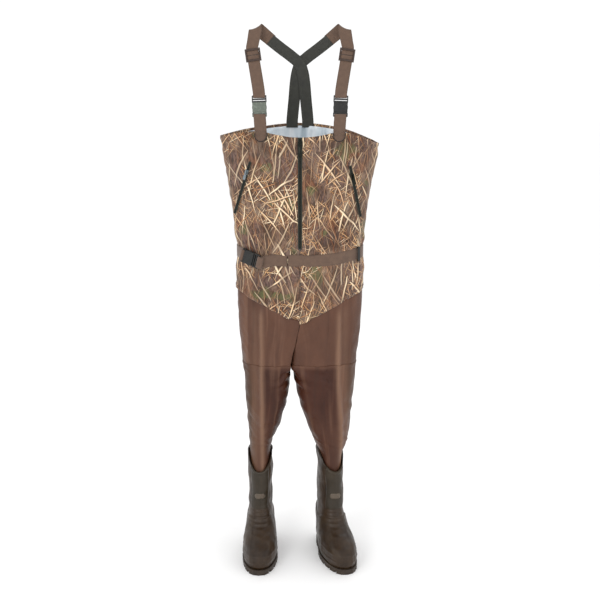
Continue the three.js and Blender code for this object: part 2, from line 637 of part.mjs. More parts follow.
// ---------------------------------------------------------------- legs
// One loop round a leg, from the height of its inner side and the slope of its plane.
function legLoop(leg, innerZ, slope, inset) {
  const inner = at(leg.inner, innerZ);
  let outerZ = innerZ;
  for (let i = 0; i < 4; i++) outerZ = innerZ + slope * (at(leg.outer, outerZ) - inner);
  const outer = at(leg.outer, outerZ);
  const depth = at(LEG_DEPTH, innerZ) - inset;
  const widest = lerp(inner, (inner + outer) / 2, at(LEG_ROUND, innerZ));
  const bend = 2 / 2.15;
  const toeOut = leg.boot.yaw * at(LEG_TURN, innerZ);
  return steps(23, 0, (2 * Math.PI * 23) / 24).map((turn) => {
    const c = power(Math.cos(turn), bend);
    const reach = c > 0 ? outer - inset - widest : widest - inner - inset;
    const x = c > 0 ? widest + c * reach : Math.min(widest, widest + c * reach);
    const clear = Math.max(x, inner + inset);
    const y = at(LEG_CENTRE_Y, innerZ) + depth * power(Math.sin(turn), bend);
    const point = vec(leg.side * clear - leg.boot.x, y, innerZ + slope * (clear - inner));
    return point.applyAxisAngle(vec(0, 0, 1), toeOut).add(vec(leg.boot.x, 0, 0));
  });
}
function legTube(leg, rows) {
  const loops = (inset) => rows.map(([z, slope]) => legLoop(leg, z, slope, inset));
  return slab(loops(0), loops(SHELL), true);
}
// [height of the inner side, slope] of the loops that make each piece of a leg
const level = (z) => [z, 0];
const LEG_PIECES = {
  hip_band: [[HIP_BAND_BOTTOM, HIP_BAND_SLOPE], [770, 0.47], [CROTCH_Z - 0.8, LEG_SEAM_SLOPE]],
  thigh: [[KNEE_BAND_TOP, 0], [HIP_BAND_BOTTOM - GAP, HIP_BAND_SLOPE]],
  knee_band: [KNEE_BAND_BOTTOM, 467, 503, 539, 568, 596, 625, KNEE_BAND_TOP - GAP].map(level),
  shin: [CUFF_BOTTOM, 330, 364, 380, 394, KNEE_BAND_BOTTOM - GAP].map(level),
};
for (const [name, leg] of Object.entries(LEGS)) {
  for (const [piece, rows] of Object.entries(LEG_PIECES)) {
    add(`${piece}_${name}`, legTube(leg, rows), NYLON);
  }
}

// ---------------------------------------------------------------- boots
function bootLoop(z, inset, rimShare = 0) {
  const toe = at(BOOT_TOE, z) + inset;
  const heel = at(BOOT_HEEL, z) - inset;
  const middle = (toe + heel) / 2;
  return steps(27, 0, (2 * Math.PI * 27) / 28).map((turn) => {
    const y = middle + ((heel - toe) / 2) * Math.sin(turn);
    const share = THREE.MathUtils.smoothstep(y, toe + (heel - toe) * 0.35, toe + (heel - toe) * 0.75);
    const half = lerp(at(BOOT_BALL, z), at(BOOT_BACK, z), share) - inset;
    const x = half * power(Math.cos(turn), 2 / 2.5);
    const dip = BOOT_RIM_DIP * rimShare * Math.max(0, -Math.sin(turn)) ** 1.5;
    return vec(x, y, z - dip);
  });
}
const BOOT_ROWS = [SOLE_TOP, 45, 62, 76, 88, 100, 115, 135, 165, 215, 260];
function bootUpper() {
  const rows = (inset, floor) => [
    ...BOOT_ROWS.map((z) => bootLoop(Math.max(z, floor), inset)),
    bootLoop(315, inset, 0.55),
    bootLoop(BOOT_RIM, inset, 1),
  ];
  return cup(rows(0, SOLE_TOP), rows(BOOT_WALL, SOLE_TOP + 5));
}
// a flat plate with the outline of the boot at a height, grown or shrunk
function footPlate(z, inset, bottom, top) {
  const outline = new THREE.Shape(bootLoop(z, inset).map((p) => new THREE.Vector2(p.x, p.y)));
  const geometry = new THREE.ExtrudeGeometry(outline, { depth: top - bottom, bevelEnabled: false });
  return solidOf(geometry.translate(0, 0, bottom));
}
function outsole() {
  const tread = 8;
  const whole = footPlate(45, -3, 0, SOLE_TOP - GAP);
  const grooves = [-196, -164, -132, -100, -68, 22, 54].map((y) => block(-90, 90, y - 5, y + 5, -1, tread));
  const centreLine = block(-4, 4, -188, -60, -1, tread);
  const arch = block(-90, 90, -50, 4, -1, tread + 4);
  return geometryOf([...grooves, centreLine, arch].reduce((sole, cut) => sole.subtract(cut), whole));
}
for (const [name, { x, yaw }] of Object.entries(BOOTS)) {
  const boot = new THREE.Group();
  boot.name = `boot_${name}_frame`;
  boot.position.set(x, 0, 0);
  boot.rotation.z = yaw;
  model.add(boot);
  add(`boot_${name}`, bootUpper(), RUBBER, boot);
  add(`outsole_${name}`, outsole(), SOLE_RUBBER, boot);
  add(`insole_${name}`, geometryOf(footPlate(45, 9, SOLE_TOP + 5 + GAP, SOLE_TOP + 11)), FOAM, boot);
}

model.position.set(0, 0, -HANGER_Z);
export default model;
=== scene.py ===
# Chest waders hung by their straps: every visible surface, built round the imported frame. Metres, with
# +X to the wearer's left, the front facing -Y and +Z up.
import math

import bmesh
import bpy
import numpy as np
from mathutils import Matrix, Vector
from mathutils.bvhtree import BVHTree


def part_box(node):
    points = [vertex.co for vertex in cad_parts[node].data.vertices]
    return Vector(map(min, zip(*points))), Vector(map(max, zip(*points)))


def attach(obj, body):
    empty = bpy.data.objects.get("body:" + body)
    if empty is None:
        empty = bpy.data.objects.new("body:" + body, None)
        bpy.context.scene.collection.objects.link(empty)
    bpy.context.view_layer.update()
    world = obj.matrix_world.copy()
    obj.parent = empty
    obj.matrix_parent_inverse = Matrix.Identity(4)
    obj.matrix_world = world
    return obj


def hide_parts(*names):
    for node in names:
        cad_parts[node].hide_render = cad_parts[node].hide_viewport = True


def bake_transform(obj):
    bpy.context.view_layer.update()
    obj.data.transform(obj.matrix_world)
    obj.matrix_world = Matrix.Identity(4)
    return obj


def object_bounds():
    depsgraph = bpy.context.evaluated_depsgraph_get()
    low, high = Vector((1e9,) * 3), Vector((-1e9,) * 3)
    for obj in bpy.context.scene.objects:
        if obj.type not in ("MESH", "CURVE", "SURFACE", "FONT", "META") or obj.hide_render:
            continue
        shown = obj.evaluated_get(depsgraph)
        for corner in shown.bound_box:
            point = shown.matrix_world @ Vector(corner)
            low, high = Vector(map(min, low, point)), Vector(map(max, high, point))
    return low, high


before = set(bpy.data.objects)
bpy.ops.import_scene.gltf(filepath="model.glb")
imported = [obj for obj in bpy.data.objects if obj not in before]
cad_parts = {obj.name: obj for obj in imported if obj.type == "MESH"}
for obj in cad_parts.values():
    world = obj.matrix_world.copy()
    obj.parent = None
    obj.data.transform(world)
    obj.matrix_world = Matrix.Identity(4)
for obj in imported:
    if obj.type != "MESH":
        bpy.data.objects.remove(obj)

cad_low, cad_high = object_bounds()
FLOOR_Z = cad_low.z


def up(height):
    """The frame's Z of a height above the soles."""
    return FLOOR_Z + height


# ---------------------------------------------------------------- driving dimensions
CLOTH = 0.0022  # thickness of the coated cloth
SEAM_HEIGHT = 0.833  # the tip of the V where the camouflage ends
SEAM_SLOPE = 0.4986  # how fast the V's edge rises to each side
KNEE_SEAM = 0.685
LEG_END = 0.296  # inside the boot
LINING_FOOT = 0.957
HEM_DEPTH = 0.018  # of the facing inside the top edge
EDGE_MARGIN = 0.0015  # rays stay this far from the frame's edges
WEB = 0.038  # width of straps and belt
WEB_THICK = 0.0018
STRAP_STEP = 0.003  # between a strap's cross-sections
SIDES = (("left", 1), ("right", -1))  # the wearer's left is at +X


# ---------------------------------------------------------------- number helpers
def smooth(x, low, high):
    """0 below low, 1 above high, and an even S between them."""
    t = np.clip((x - low) / (high - low), 0, 1)
    return t * t * (3 - 2 * t)


def bump(x, centre, width):
    """1 at the centre, falling away to 0 over about twice the width."""
    return np.exp(-(((x - centre) / width) ** 2))


def value_noise(x, y, scale, seed):
    """Smooth noise from -1 to 1 over two coordinates, as a sum of waves in random directions."""
    draw = np.random.default_rng(seed)
    total = np.zeros(np.broadcast(x, y).shape)
    waves = 9
    for _ in range(waves):
        turn, phase = draw.uniform(0, 2 * math.pi, 2)
        pitch = 2 * math.pi / scale * draw.uniform(0.6, 1.5)
        total += np.sin((x * math.cos(turn) + y * math.sin(turn)) * pitch + phase)
    return total / math.sqrt(waves) / 1.2


def blur(values, sigma, axis, wrap):
    """Values averaged with their neighbours along an axis."""
    if sigma <= 0:
        return values
    reach = int(3 * sigma) + 1
    weights = np.exp(-0.5 * (np.arange(-reach, reach + 1) / sigma) ** 2)
    weights /= weights.sum()
    pad = [(0, 0)] * values.ndim
    pad[axis] = (reach, reach)
    if wrap:
        padded = np.pad(values, pad, mode="wrap")
    else:  # carried on in a straight line past both ends
        padded = np.pad(values, pad, mode="reflect", reflect_type="odd")
    size = values.shape[axis]
    return sum(w * np.take(padded, np.arange(k, k + size), axis) for k, w in enumerate(weights))


def run_along(line):
    """How far each point of a line is from its start, along the line."""
    return np.concatenate([[0], np.cumsum(np.linalg.norm(np.diff(line, axis=0), axis=1))])


def run_round(grid):
    """How far each point of a closed grid is round its row."""
    return np.cumsum(np.linalg.norm(np.diff(grid, axis=1, append=grid[:, :1]), axis=2), 1)


def unit(v):
    v = np.asarray(v, float)
    return v / np.linalg.norm(v)


def angles_round(count):
    """Evenly spaced angles, from the front centre round towards the wearer's left."""
    return (np.arange(count) / count) * 2 * math.pi - math.pi / 2


# ---------------------------------------------------------------- surfaces measured on the frame
class Skin:
    """The outer surface of some CAD nodes, found by level rays that run in towards an upright axis."""

    def __init__(self, names, centre, flatten=1.0):
        points, faces = [], []
        for name in names:
            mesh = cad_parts[name].data
            faces += [[v + len(points) for v in p.vertices] for p in mesh.polygons]
            points += [v.co.copy() for v in mesh.vertices]
        self.tree = BVHTree.FromPolygons(points, faces)
        self.points = np.array([p[:] for p in points])
        self.centre, self.flatten = centre, flatten

    def point(self, angle, z):
        """Where the ray meets the near side, or three NaN."""
        out = Vector((math.cos(angle), self.flatten * math.sin(angle), 0)).normalized()
        axis = Vector((*self.centre(z), z))
        hit = self.tree.ray_cast(axis + out, -out, 1.0)[0]
        return tuple(hit) if hit else (math.nan,) * 3

    def sample(self, angles, heights):
        """Points at each height of a rows by columns grid. Gaps in the frame are bridged along each row."""
        rows, cols = heights.shape
        found = np.array([[self.point(angles[c], heights[r, c]) for c in range(cols)] for r in range(rows)])
        for row in found:
            bad = np.isnan(row[:, 0])
            if bad.any() and not bad.all():
                for k in range(3):
                    row[bad, k] = np.interp(angles[bad], angles[~bad], row[~bad, k], period=2 * math.pi)
        found[:, :, 2] = heights
        return found

    def edge(self, angles, within, beyond):
        """The height of the surface's edge at each angle, between one within it and one beyond it."""
        found = []
        for angle in angles:
            low, high = within, beyond
            for _ in range(11):
                middle = (low + high) / 2
                if math.isnan(self.point(angle, middle)[0]):
                    high = middle
                else:
                    low = middle
            found.append(low)
        return np.array(found)


# ---------------------------------------------------------------- meshes
def normals_of(grid, closed):
    """Outward unit normals of a grid of points whose columns run round the object."""
    if closed:
        around = np.roll(grid, -1, 1) - np.roll(grid, 1, 1)
    else:
        around = np.gradient(grid, axis=1)
    along = np.gradient(grid, axis=0)
    normal = np.cross(around, along)
    return normal / np.maximum(np.linalg.norm(normal, axis=2, keepdims=True), 1e-12)


def dress(piece, slot, body=None, *nodes):
    """Attaches a piece to the body it rides on, unless it is blended, and hides the nodes it stands for. Its
    finish (slot) is not used.
    """
    if body:
        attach(piece, body)
    if nodes:
        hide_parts(*nodes)


def store(mesh, values):
    """Stores numbers on a mesh's points, by attribute name, for its material."""
    for name, numbers in values.items():
        layer = mesh.attributes.new(name, "FLOAT", "POINT")
        layer.data.foreach_set("value", numbers.astype(np.float32))


def new_object(name, points, faces, material, uvs=None):
    """A smooth-shaded object in the scene, with a UV pair for each face corner if given."""
    mesh = bpy.data.meshes.new(name)
    mesh.from_pydata([tuple(p) for p in points], [], faces)
    mesh.polygons.foreach_set("use_smooth", [True] * len(mesh.polygons))
    if uvs is not None:
        layer = mesh.uv_layers.new(name="cloth")
        layer.data.foreach_set("uv", np.asarray(uvs, np.float32).ravel())
    mesh.materials.append(material)
    mesh.update()
    made = bpy.data.objects.new(name, mesh)
    bpy.context.scene.collection.objects.link(made)
    return made


def cloth(name, grid, material, closed=False, thick=CLOTH, shift=(0.0, 0.0)):
    """A sheet with a thickness from a grid of points on its outer face. Rows run along it, columns across.
    Its UV map is the cloth's own lengths in metres."""
    rows, cols = grid.shape[:2]
    inner = grid - normals_of(grid, closed) * thick
    points = np.concatenate([grid.reshape(-1, 3), inner.reshape(-1, 3)])
    step_u = np.linalg.norm(np.diff(grid, axis=1, append=grid[:, :1]), axis=2).mean(0)
    u = np.concatenate([[0], np.cumsum(step_u)])
    step_v = np.linalg.norm(np.diff(grid, axis=0), axis=2)
    v = np.concatenate([np.zeros((1, cols)), np.cumsum(step_v, 0)])
    v = v + (grid[:1, :, 2] if rows > 1 else 0)
    v = np.concatenate([v, v[:, :1]], 1)
    faces, uvs = [], []
    index = lambda layer, r, c: layer * rows * cols + r * cols + c % cols
    corner = lambda r, c: (u[c] + shift[0], v[r, c] + shift[1])
    across = cols if closed else cols - 1

    def quad(spots):
        faces.append([index(*s) for s in spots])
        uvs.extend(corner(r, c) for _, r, c in spots)

    for r in range(rows - 1):
        for c in range(across):
            quad([(0, r, c), (0, r, c + 1), (0, r + 1, c + 1), (0, r + 1, c)])
            quad([(1, r, c), (1, r + 1, c), (1, r + 1, c + 1), (1, r, c + 1)])
    for c in range(across):
        quad([(1, 0, c), (1, 0, c + 1), (0, 0, c + 1), (0, 0, c)])
        quad([(0, rows - 1, c), (0, rows - 1, c + 1), (1, rows - 1, c + 1), (1, rows - 1, c)])
    if not closed:
        for r in range(rows - 1):
            quad([(0, r, 0), (0, r + 1, 0), (1, r + 1, 0), (1, r, 0)])
            quad([(1, r, cols - 1), (1, r + 1, cols - 1), (0, r + 1, cols - 1), (0, r, cols - 1)])
    return new_object(name, points, faces, material, uvs)


def cut_size(grid):
    """(width, length, area) of the cloth that a grid of points was cut from."""
    wide = np.linalg.norm(np.diff(grid, axis=1), axis=2).sum(1).max()
    long = np.linalg.norm(np.diff(grid, axis=0), axis=2).sum(0).max()
    a = np.cross(grid[1:, 1:] - grid[:-1, :-1], grid[:-1, 1:] - grid[1:, :-1])
    area = np.linalg.norm(a, axis=2).sum() / 2
    return float(wide), float(long), float(area)


def declare_cloth(grid):
    """Works out a sheet's cut width, length and area, and does nothing further with them."""
    wide, long, area = cut_size(grid)


def curve_points(knots, spacing, extra=None):
    """A smooth line through some points, as evenly spaced points, and an extra vector carried along it."""
    knots = np.array([tuple(k) for k in knots], float)
    ends = [2 * knots[0] - knots[1], 2 * knots[-1] - knots[-2]]
    p = np.vstack([ends[0], knots, ends[1]])
    line = []
    for i in range(1, len(p) - 2):
        gaps = [max(np.linalg.norm(p[k + 1] - p[k]), 1e-9) ** 0.5 for k in (i - 1, i, i + 1)]
        t0, t1 = 0.0, gaps[0]
        t2, t3 = t1 + gaps[1], t1 + gaps[1] + gaps[2]
        spans = ((t0, t1, p[i - 1], p[i]), (t1, t2, p[i], p[i + 1]), (t2, t3, p[i + 1], p[i + 2]))
        for t in np.linspace(t1, t2, 24, endpoint=False):
            a = [(tb - t) / (tb - ta) * pa + (t - ta) / (tb - ta) * pb for ta, tb, pa, pb in spans]
            b = [(t2 - t) / (t2 - t0) * a[0] + (t - t0) / (t2 - t0) * a[1],
                 (t3 - t) / (t3 - t1) * a[1] + (t - t1) / (t3 - t1) * a[2]]
            line.append((t2 - t) / (t2 - t1) * b[0] + (t - t1) / (t2 - t1) * b[1])
    line.append(knots[-1])
    line = np.array(line)
    run = run_along(line)
    count = max(2, round(run[-1] / spacing) + 1)
    along = np.linspace(0, run[-1], count)
    even = np.stack([np.interp(along, run, line[:, k]) for k in range(3)], 1)
    if extra is None:
        return even
    chord = run_along(knots)
    extra = np.array([tuple(e) for e in extra], float)
    carried = [np.interp(along / run[-1], chord / chord[-1], extra[:, k]) for k in range(extra.shape[1])]
    return even, np.stack(carried, 1)


def strap(name, centre, across, material, width=WEB, thick=WEB_THICK, edge_round=0.35):
    """Webbing along a line of points, with its width along a direction at each: a flat band with
    rounded edges and a faint crown."""
    centre = np.asarray(centre, float)
    count = len(centre)
    across = np.broadcast_to(np.asarray(across, float), (count, 3))
    along = np.gradient(centre, axis=0)
    along /= np.linalg.norm(along, axis=1, keepdims=True)
    across = across - (across * along).sum(1, keepdims=True) * along
    across = across / np.linalg.norm(across, axis=1, keepdims=True)
    out = np.cross(across, along)
    width = np.broadcast_to(width, (count,))
    half = [-0.5, -0.485, -0.44, -0.25, 0.0, 0.25, 0.44, 0.485, 0.5]
    lift = [edge_round, 0.75, 0.98, 1.0, 1.04, 1.0, 0.98, 0.75, edge_round]
    ring = [(h, l / 2) for h, l in zip(half, lift)] + [(-h, -l / 2) for h, l in zip(half, lift)]
    run = run_along(centre)
    points, faces, uvs = [], [], []
    size = len(ring)
    for i in range(count):
        for h, l in ring:
            points.append(centre[i] + across[i] * h * width[i] + out[i] * l * thick)
    for i in range(count - 1):
        for k in range(size):
            n = (k + 1) % size
            faces.append([i * size + k, i * size + n, (i + 1) * size + n, (i + 1) * size + k])
            uvs += [(ring[j][0] * WEB, run[r]) for j, r in ((k, i), (n, i), (n, i + 1), (k, i + 1))]
    for i, order in ((0, reversed(range(size))), (count - 1, range(size))):
        spots = list(order)
        faces.append([i * size + k for k in spots])
        uvs += [(ring[k][0] * WEB, run[i]) for k in spots]
    return new_object(name, points, faces, material, uvs)


# ---------------------------------------------------------------- shader helpers
def srgb(*rgb):
    """A colour from its values on a screen, as the linear ones that the shader takes."""
    return tuple(c / 12.92 if c <= 0.04045 else ((c + 0.055) / 1.055) ** 2.4 for c in rgb) + (1.0,)


class Shader:
    """A material's node tree, built by calls that take sockets or plain values."""

    def __init__(self, name, **settings):
        self.material = bpy.data.materials.new(name)
        self.material.use_nodes = True
        self.tree = self.material.node_tree
        self.bsdf = self.tree.nodes["Principled BSDF"]
        for key, value in settings.items():
            self.bsdf.inputs[key.replace("_", " ")].default_value = value

    def link(self, value, socket):
        if isinstance(value, bpy.types.NodeSocket):
            self.tree.links.new(value, socket)
        elif value is not None:
            socket.default_value = value

    def node(self, kind, inputs=(), out=0, **settings):
        made = self.tree.nodes.new(kind)
        for key, value in settings.items():
            setattr(made, key, value)
        for key, value in dict(inputs).items():
            self.link(value, made.inputs[key])
        return made.outputs[out] if out is not None else made

    def math(self, operation, a, b=None, c=None, clamp=False):
        values = {0: a}
        if b is not None:
            values[1] = b
        if c is not None:
            values[2] = c
        return self.node("ShaderNodeMath", values, operation=operation, use_clamp=clamp)

    def vector(self, operation, a, b):
        return self.node("ShaderNodeVectorMath", {0: a, 1: b}, operation=operation)

    def mix(self, share, a, b, blend="MIX"):
        made = self.node("ShaderNodeMix", out=None, data_type="RGBA", blend_type=blend, clamp_factor=True)
        for key, value in ((0, share), (6, a), (7, b)):
            self.link(value, made.inputs[key])
        return made.outputs[2]

    def step(self, x, low, high, to_low=0.0, to_high=1.0):
        ends = {"Value": x, "From Min": low, "From Max": high, "To Min": to_low, "To Max": to_high}
        return self.node("ShaderNodeMapRange", ends, interpolation_type="SMOOTHSTEP")

    def noise(self, where, scale, detail=3.0, rough=0.55, distortion=0.0, out=0):
        inputs = {"Vector": where, "Scale": scale, "Detail": detail, "Roughness": rough}
        inputs["Distortion"] = distortion
        return self.node("ShaderNodeTexNoise", inputs, out=out)

    def ramp(self, share, stops, interpolation="LINEAR"):
        made = self.node("ShaderNodeValToRGB", {0: share}, out=None)
        made.color_ramp.interpolation = interpolation
        elements = made.color_ramp.elements
        while len(elements) < len(stops):
            elements.new(0.5)
        for element, (place, colour) in zip(elements, stops):
            element.position = place
            element.color = colour
        return made.outputs[0]

    def mapping(self, where, place=(0, 0, 0), turn=0.0, scale=(1, 1, 1)):
        inputs = {"Vector": where, "Location": place, "Rotation": (0, 0, turn), "Scale": scale}
        return self.node("ShaderNodeMapping", inputs)

    def parts(self, vector):
        return self.node("ShaderNodeSeparateXYZ", {0: vector}, out=None).outputs

    def read(self, attribute):
        """A number stored on the mesh's points."""
        return self.node("ShaderNodeAttribute", out=2, attribute_name=attribute)

    def times(self, a, b):
        return self.math("MULTIPLY", a, b)

    def uv(self):
        return self.node("ShaderNodeUVMap", uv_map="cloth")

    def place(self):
        return self.node("ShaderNodeTexCoord", out=3)

    def finish(self, colour=None, rough=None, height=None, strength=0.3, distance=0.001):
        self.link(colour, self.bsdf.inputs["Base Color"])
        self.link(rough, self.bsdf.inputs["Roughness"])
        if height is not None:
            inputs = {"Height": height, "Strength": strength, "Distance": distance}
            self.link(self.node("ShaderNodeBump", inputs), self.bsdf.inputs["Normal"])
        return self.material


# ---------------------------------------------------------------- materials
CREAM = srgb(0.93, 0.86, 0.75)
STRAW = srgb(0.84, 0.71, 0.54)
TAN = srgb(0.72, 0.57, 0.43)
GOLD = srgb(0.74, 0.52, 0.30)
RUST = srgb(0.52, 0.32, 0.20)
DEEP = srgb(0.155, 0.105, 0.08)


def weave(s, uv, pitch=0.0011):
    """Height of a plain weave: threads that go over and under each other."""
    x, y, _ = s.parts(s.vector("MULTIPLY", uv, (2 * math.pi / pitch,) * 3))
    return s.times(s.math("SINE", x), s.math("SINE", y))


def blades(s, uv, turn, cell, half, density, seed, tilt=0.6, arc=3.0):
    """One layer of a printed reed pattern: (mask, random number per blade, place across it, shadow)."""
    wide, long = cell
    local = s.mapping(uv, place=(seed * 3.17, seed * 1.31, 0), turn=turn)
    sized = s.vector("DIVIDE", local, (wide, long, 1))
    inputs = {"Vector": sized, "Scale": 1.0, "Randomness": 1.0}
    cells = s.node("ShaderNodeTexVoronoi", inputs, out=None, voronoi_dimensions="2D", feature="F1")
    from_root = s.vector("SUBTRACT", sized, cells.outputs["Position"])
    x, y, _ = s.parts(s.vector("MULTIPLY", from_root, (wide, long, 0)))
    r, g, b = s.parts(cells.outputs["Color"])
    lean = s.times(s.math("SUBTRACT", r, 0.5), tilt)
    curl = s.times(s.math("SUBTRACT", g, 0.5), arc)
    bent = s.math("ADD", s.times(y, lean), s.times(s.times(y, y), curl))
    x = s.math("ADD", x, bent)
    end = s.math("DIVIDE", y, 0.56 * long)
    taper = s.math("SUBTRACT", 1.0, s.times(end, end), clamp=True)
    width = s.times(taper, s.times(s.math("ADD", b, 0.45), half))
    place = s.math("DIVIDE", x, s.math("MAXIMUM", width, 0.0001))
    shape = s.step(s.math("ABSOLUTE", place), 1.0, 0.75)
    kept = s.math("GREATER_THAN", s.math("FRACT", s.times(s.math("ADD", g, r), 7.13)), 1 - density)
    shadow = s.step(s.math("ABSOLUTE", s.math("SUBTRACT", place, 0.9)), 2.0, 0.6)
    return s.times(shape, kept), b, place, s.times(shadow, kept)


def camouflage():
    """Reeds and dead grass over mud and bark, an invented pattern."""
    s = Shader("camouflage", Sheen_Weight=0.15, Sheen_Roughness=0.5, Specular_IOR_Level=0.3)
    uv = s.uv()
    drift = s.vector("SUBTRACT", s.noise(uv, 9.0, 2.0, out=1), (0.5,) * 3)
    wavy = s.vector("ADD", uv, s.vector("MULTIPLY", drift, (0.05, 0.05, 0)))
    straight = s.vector("ADD", uv, s.vector("MULTIPLY", drift, (0.010, 0.010, 0)))
    upright = s.mapping(wavy, scale=(1.0, 0.55, 1.0))
    colour = s.ramp(s.noise(upright, 21.0, 5.0, 0.68), [
        (0.30, srgb(0.19, 0.13, 0.10)), (0.42, srgb(0.33, 0.24, 0.19)), (0.51, srgb(0.45, 0.355, 0.30)),
        (0.60, srgb(0.53, 0.455, 0.39)), (0.72, srgb(0.68, 0.59, 0.49))])
    warm = s.step(s.noise(s.mapping(wavy, place=(4, 2, 0)), 9.0, 3.0), 0.50, 0.62)
    colour = s.mix(s.times(warm, 0.55), colour, srgb(0.50, 0.31, 0.20))
    # split wood: mauve grey patches ringed with dark grain
    wood = s.noise(s.mapping(wavy, place=(9, 5, 0)), 8.0, 2.0)
    patch = s.step(wood, 0.50, 0.58)
    colour = s.mix(s.times(patch, 0.75), colour, srgb(0.43, 0.345, 0.32))
    rings = s.math("SINE", s.times(s.noise(s.mapping(wavy, place=(3, 8, 0)), 7.0, 2.5, 0.5), 150.0))
    rings = s.times(s.step(rings, 0.1, 0.9), patch)
    colour = s.mix(s.times(rings, 0.55), colour, srgb(0.25, 0.18, 0.155))
    grass = s.step(s.noise(s.mapping(wavy, place=(2, 7, 0)), 10.0, 2.0), 0.61, 0.67)
    colour = s.mix(s.times(grass, 0.7), colour, srgb(0.36, 0.39, 0.23))
    bark = s.noise(s.mapping(wavy, scale=(1, 0.22, 1)), 130.0, 4.0, 0.7)
    colour = s.mix(s.step(bark, 0.53, 0.38, 0.0, 0.7), colour, DEEP)
    gloom = s.step(s.noise(s.mapping(uv, place=(6, 1, 0)), 6.5, 3.0, 0.6), 0.50, 0.38)
    colour = s.mix(s.times(gloom, 0.45), colour, srgb(0.24, 0.17, 0.135))
    cluster = s.noise(s.mapping(uv, place=(1, 3, 0)), 7.5, 1.5)
    # turn in degrees, cell width and length, half width, density, colours, how far it keeps to clusters
    layers = [
        (10, (0.016, 0.060), 0.0011, 0.8, (RUST, TAN), 0.2),
        (-16, (0.019, 0.075), 0.0013, 0.8, (DEEP, RUST), 0.0),
        (38, (0.020, 0.060), 0.0011, 0.7, (RUST, STRAW), 0.6),
        (-44, (0.020, 0.060), 0.0011, 0.7, (GOLD, STRAW), 0.6),
        (68, (0.018, 0.055), 0.0010, 0.65, (TAN, CREAM), 1.0),
        (-70, (0.018, 0.055), 0.0010, 0.65, (GOLD, STRAW), 1.0),
        (24, (0.017, 0.050), 0.0009, 0.75, (TAN, CREAM), 1.0),
        (-5, (0.030, 0.100), 0.0019, 0.6, (TAN, CREAM), 0.4),
        (-27, (0.036, 0.120), 0.0021, 0.6, (GOLD, CREAM), 0.5),
        (19, (0.042, 0.135), 0.0024, 0.55, (STRAW, CREAM), 0.4),
        (-38, (0.055, 0.135), 0.0027, 0.5, (TAN, CREAM), 0.4),
        (54, (0.060, 0.125), 0.0022, 0.5, (GOLD, CREAM), 0.6),
    ]
    for seed, (turn, cell, half, density, (dark, light), clustered) in enumerate(layers, 1):
        mask, pick, place, shadow = blades(s, straight, math.radians(turn), cell, half, density, seed)
        gate = s.step(cluster, 0.44, 0.53, 0.85 - 0.85 * clustered, 1.0)
        mask, shadow = s.times(mask, gate), s.times(shadow, gate)
        colour = s.mix(s.times(shadow, 0.7), colour, DEEP)
        tone = s.mix(pick, dark, light)
        tone = s.mix(s.step(place, -0.1, 1.0, 0.0, 0.5), tone, RUST)
        colour = s.mix(s.times(mask, 0.92), colour, tone)
    colour = s.mix(0.2, colour, colour, blend="OVERLAY")  # deepens the shadows between the reeds
    colour = s.mix(1.0, colour, (1.125, 1.12, 1.10, 1), blend="MULTIPLY")
    threads = weave(s, uv)
    fade = s.noise(uv, 5.0, 2.0)
    colour = s.mix(s.step(fade, 0.35, 0.65, 0.0, 0.10), colour, srgb(0.55, 0.46, 0.38))
    rough = s.step(s.noise(uv, 60.0), 0.3, 0.7, 0.72, 0.86)
    fine = s.math("ADD", s.times(threads, 0.5), s.noise(uv, 300.0, 2.0))
    return s.finish(colour, rough, fine, 0.25, 0.0006)


def nylon():
    """Coated oxford cloth with a satin face, darker and redder on the inner front below the knee seam, with
    painted shade on the legs' outer sides, painted shade and highlight in upright streaks, and a painted
    highlight along the crease.
    """
    s = Shader("nylon", Sheen_Weight=0.0, Specular_IOR_Level=0.26)
    uv = s.uv()
    tone = s.noise(s.mapping(uv, scale=(1, 0.35, 1)), 9.0, 4.0, 0.6)
    colour = s.mix(s.step(tone, 0.32, 0.68), srgb(0.30, 0.19, 0.14), srgb(0.35, 0.228, 0.168))
    # painted shade on the legs' outer sides
    colour = s.mix(s.times(s.read("outer"), 0.8), colour, srgb(0.255, 0.168, 0.095))
    panel = s.mix(s.step(tone, 0.3, 0.7), srgb(0.165, 0.05, 0.008), srgb(0.24, 0.105, 0.048))
    colour = s.mix(s.times(s.read("dark"), 0.9), colour, panel)
    # painted shade and painted highlight in soft upright streaks, and a painted highlight along the pressed
    # crease
    painted_light_streak = s.noise(s.mapping(uv, scale=(1, 0.05, 1)), 22.0, 3.0, 0.55)
    colour = s.mix(s.step(painted_light_streak, 0.42, 0.30, 0.0, 0.45), colour, srgb(0.20, 0.115, 0.075))
    colour = s.mix(s.step(painted_light_streak, 0.52, 0.66, 0.0, 0.45), colour, srgb(0.46, 0.33, 0.255))
    # painted highlight along the pressed crease
    colour = s.mix(s.times(s.read("wear_and_highlight"), 0.55), colour, srgb(0.52, 0.40, 0.32))
    scuff = s.step(s.noise(uv, 55.0, 5.0, 0.75), 0.62, 0.80, 0.0, 0.25)
    colour = s.mix(scuff, colour, srgb(0.40, 0.30, 0.235))
    rough = s.step(s.noise(uv, 26.0, 4.0), 0.3, 0.7, 0.40, 0.54)
    ripple = s.noise(s.mapping(uv, scale=(1, 0.5, 1)), 38.0, 3.0, 0.6)
    height = s.math("ADD", s.times(weave(s, uv), 0.10), ripple)
    return s.finish(colour, rough, height, 0.3, 0.0016)


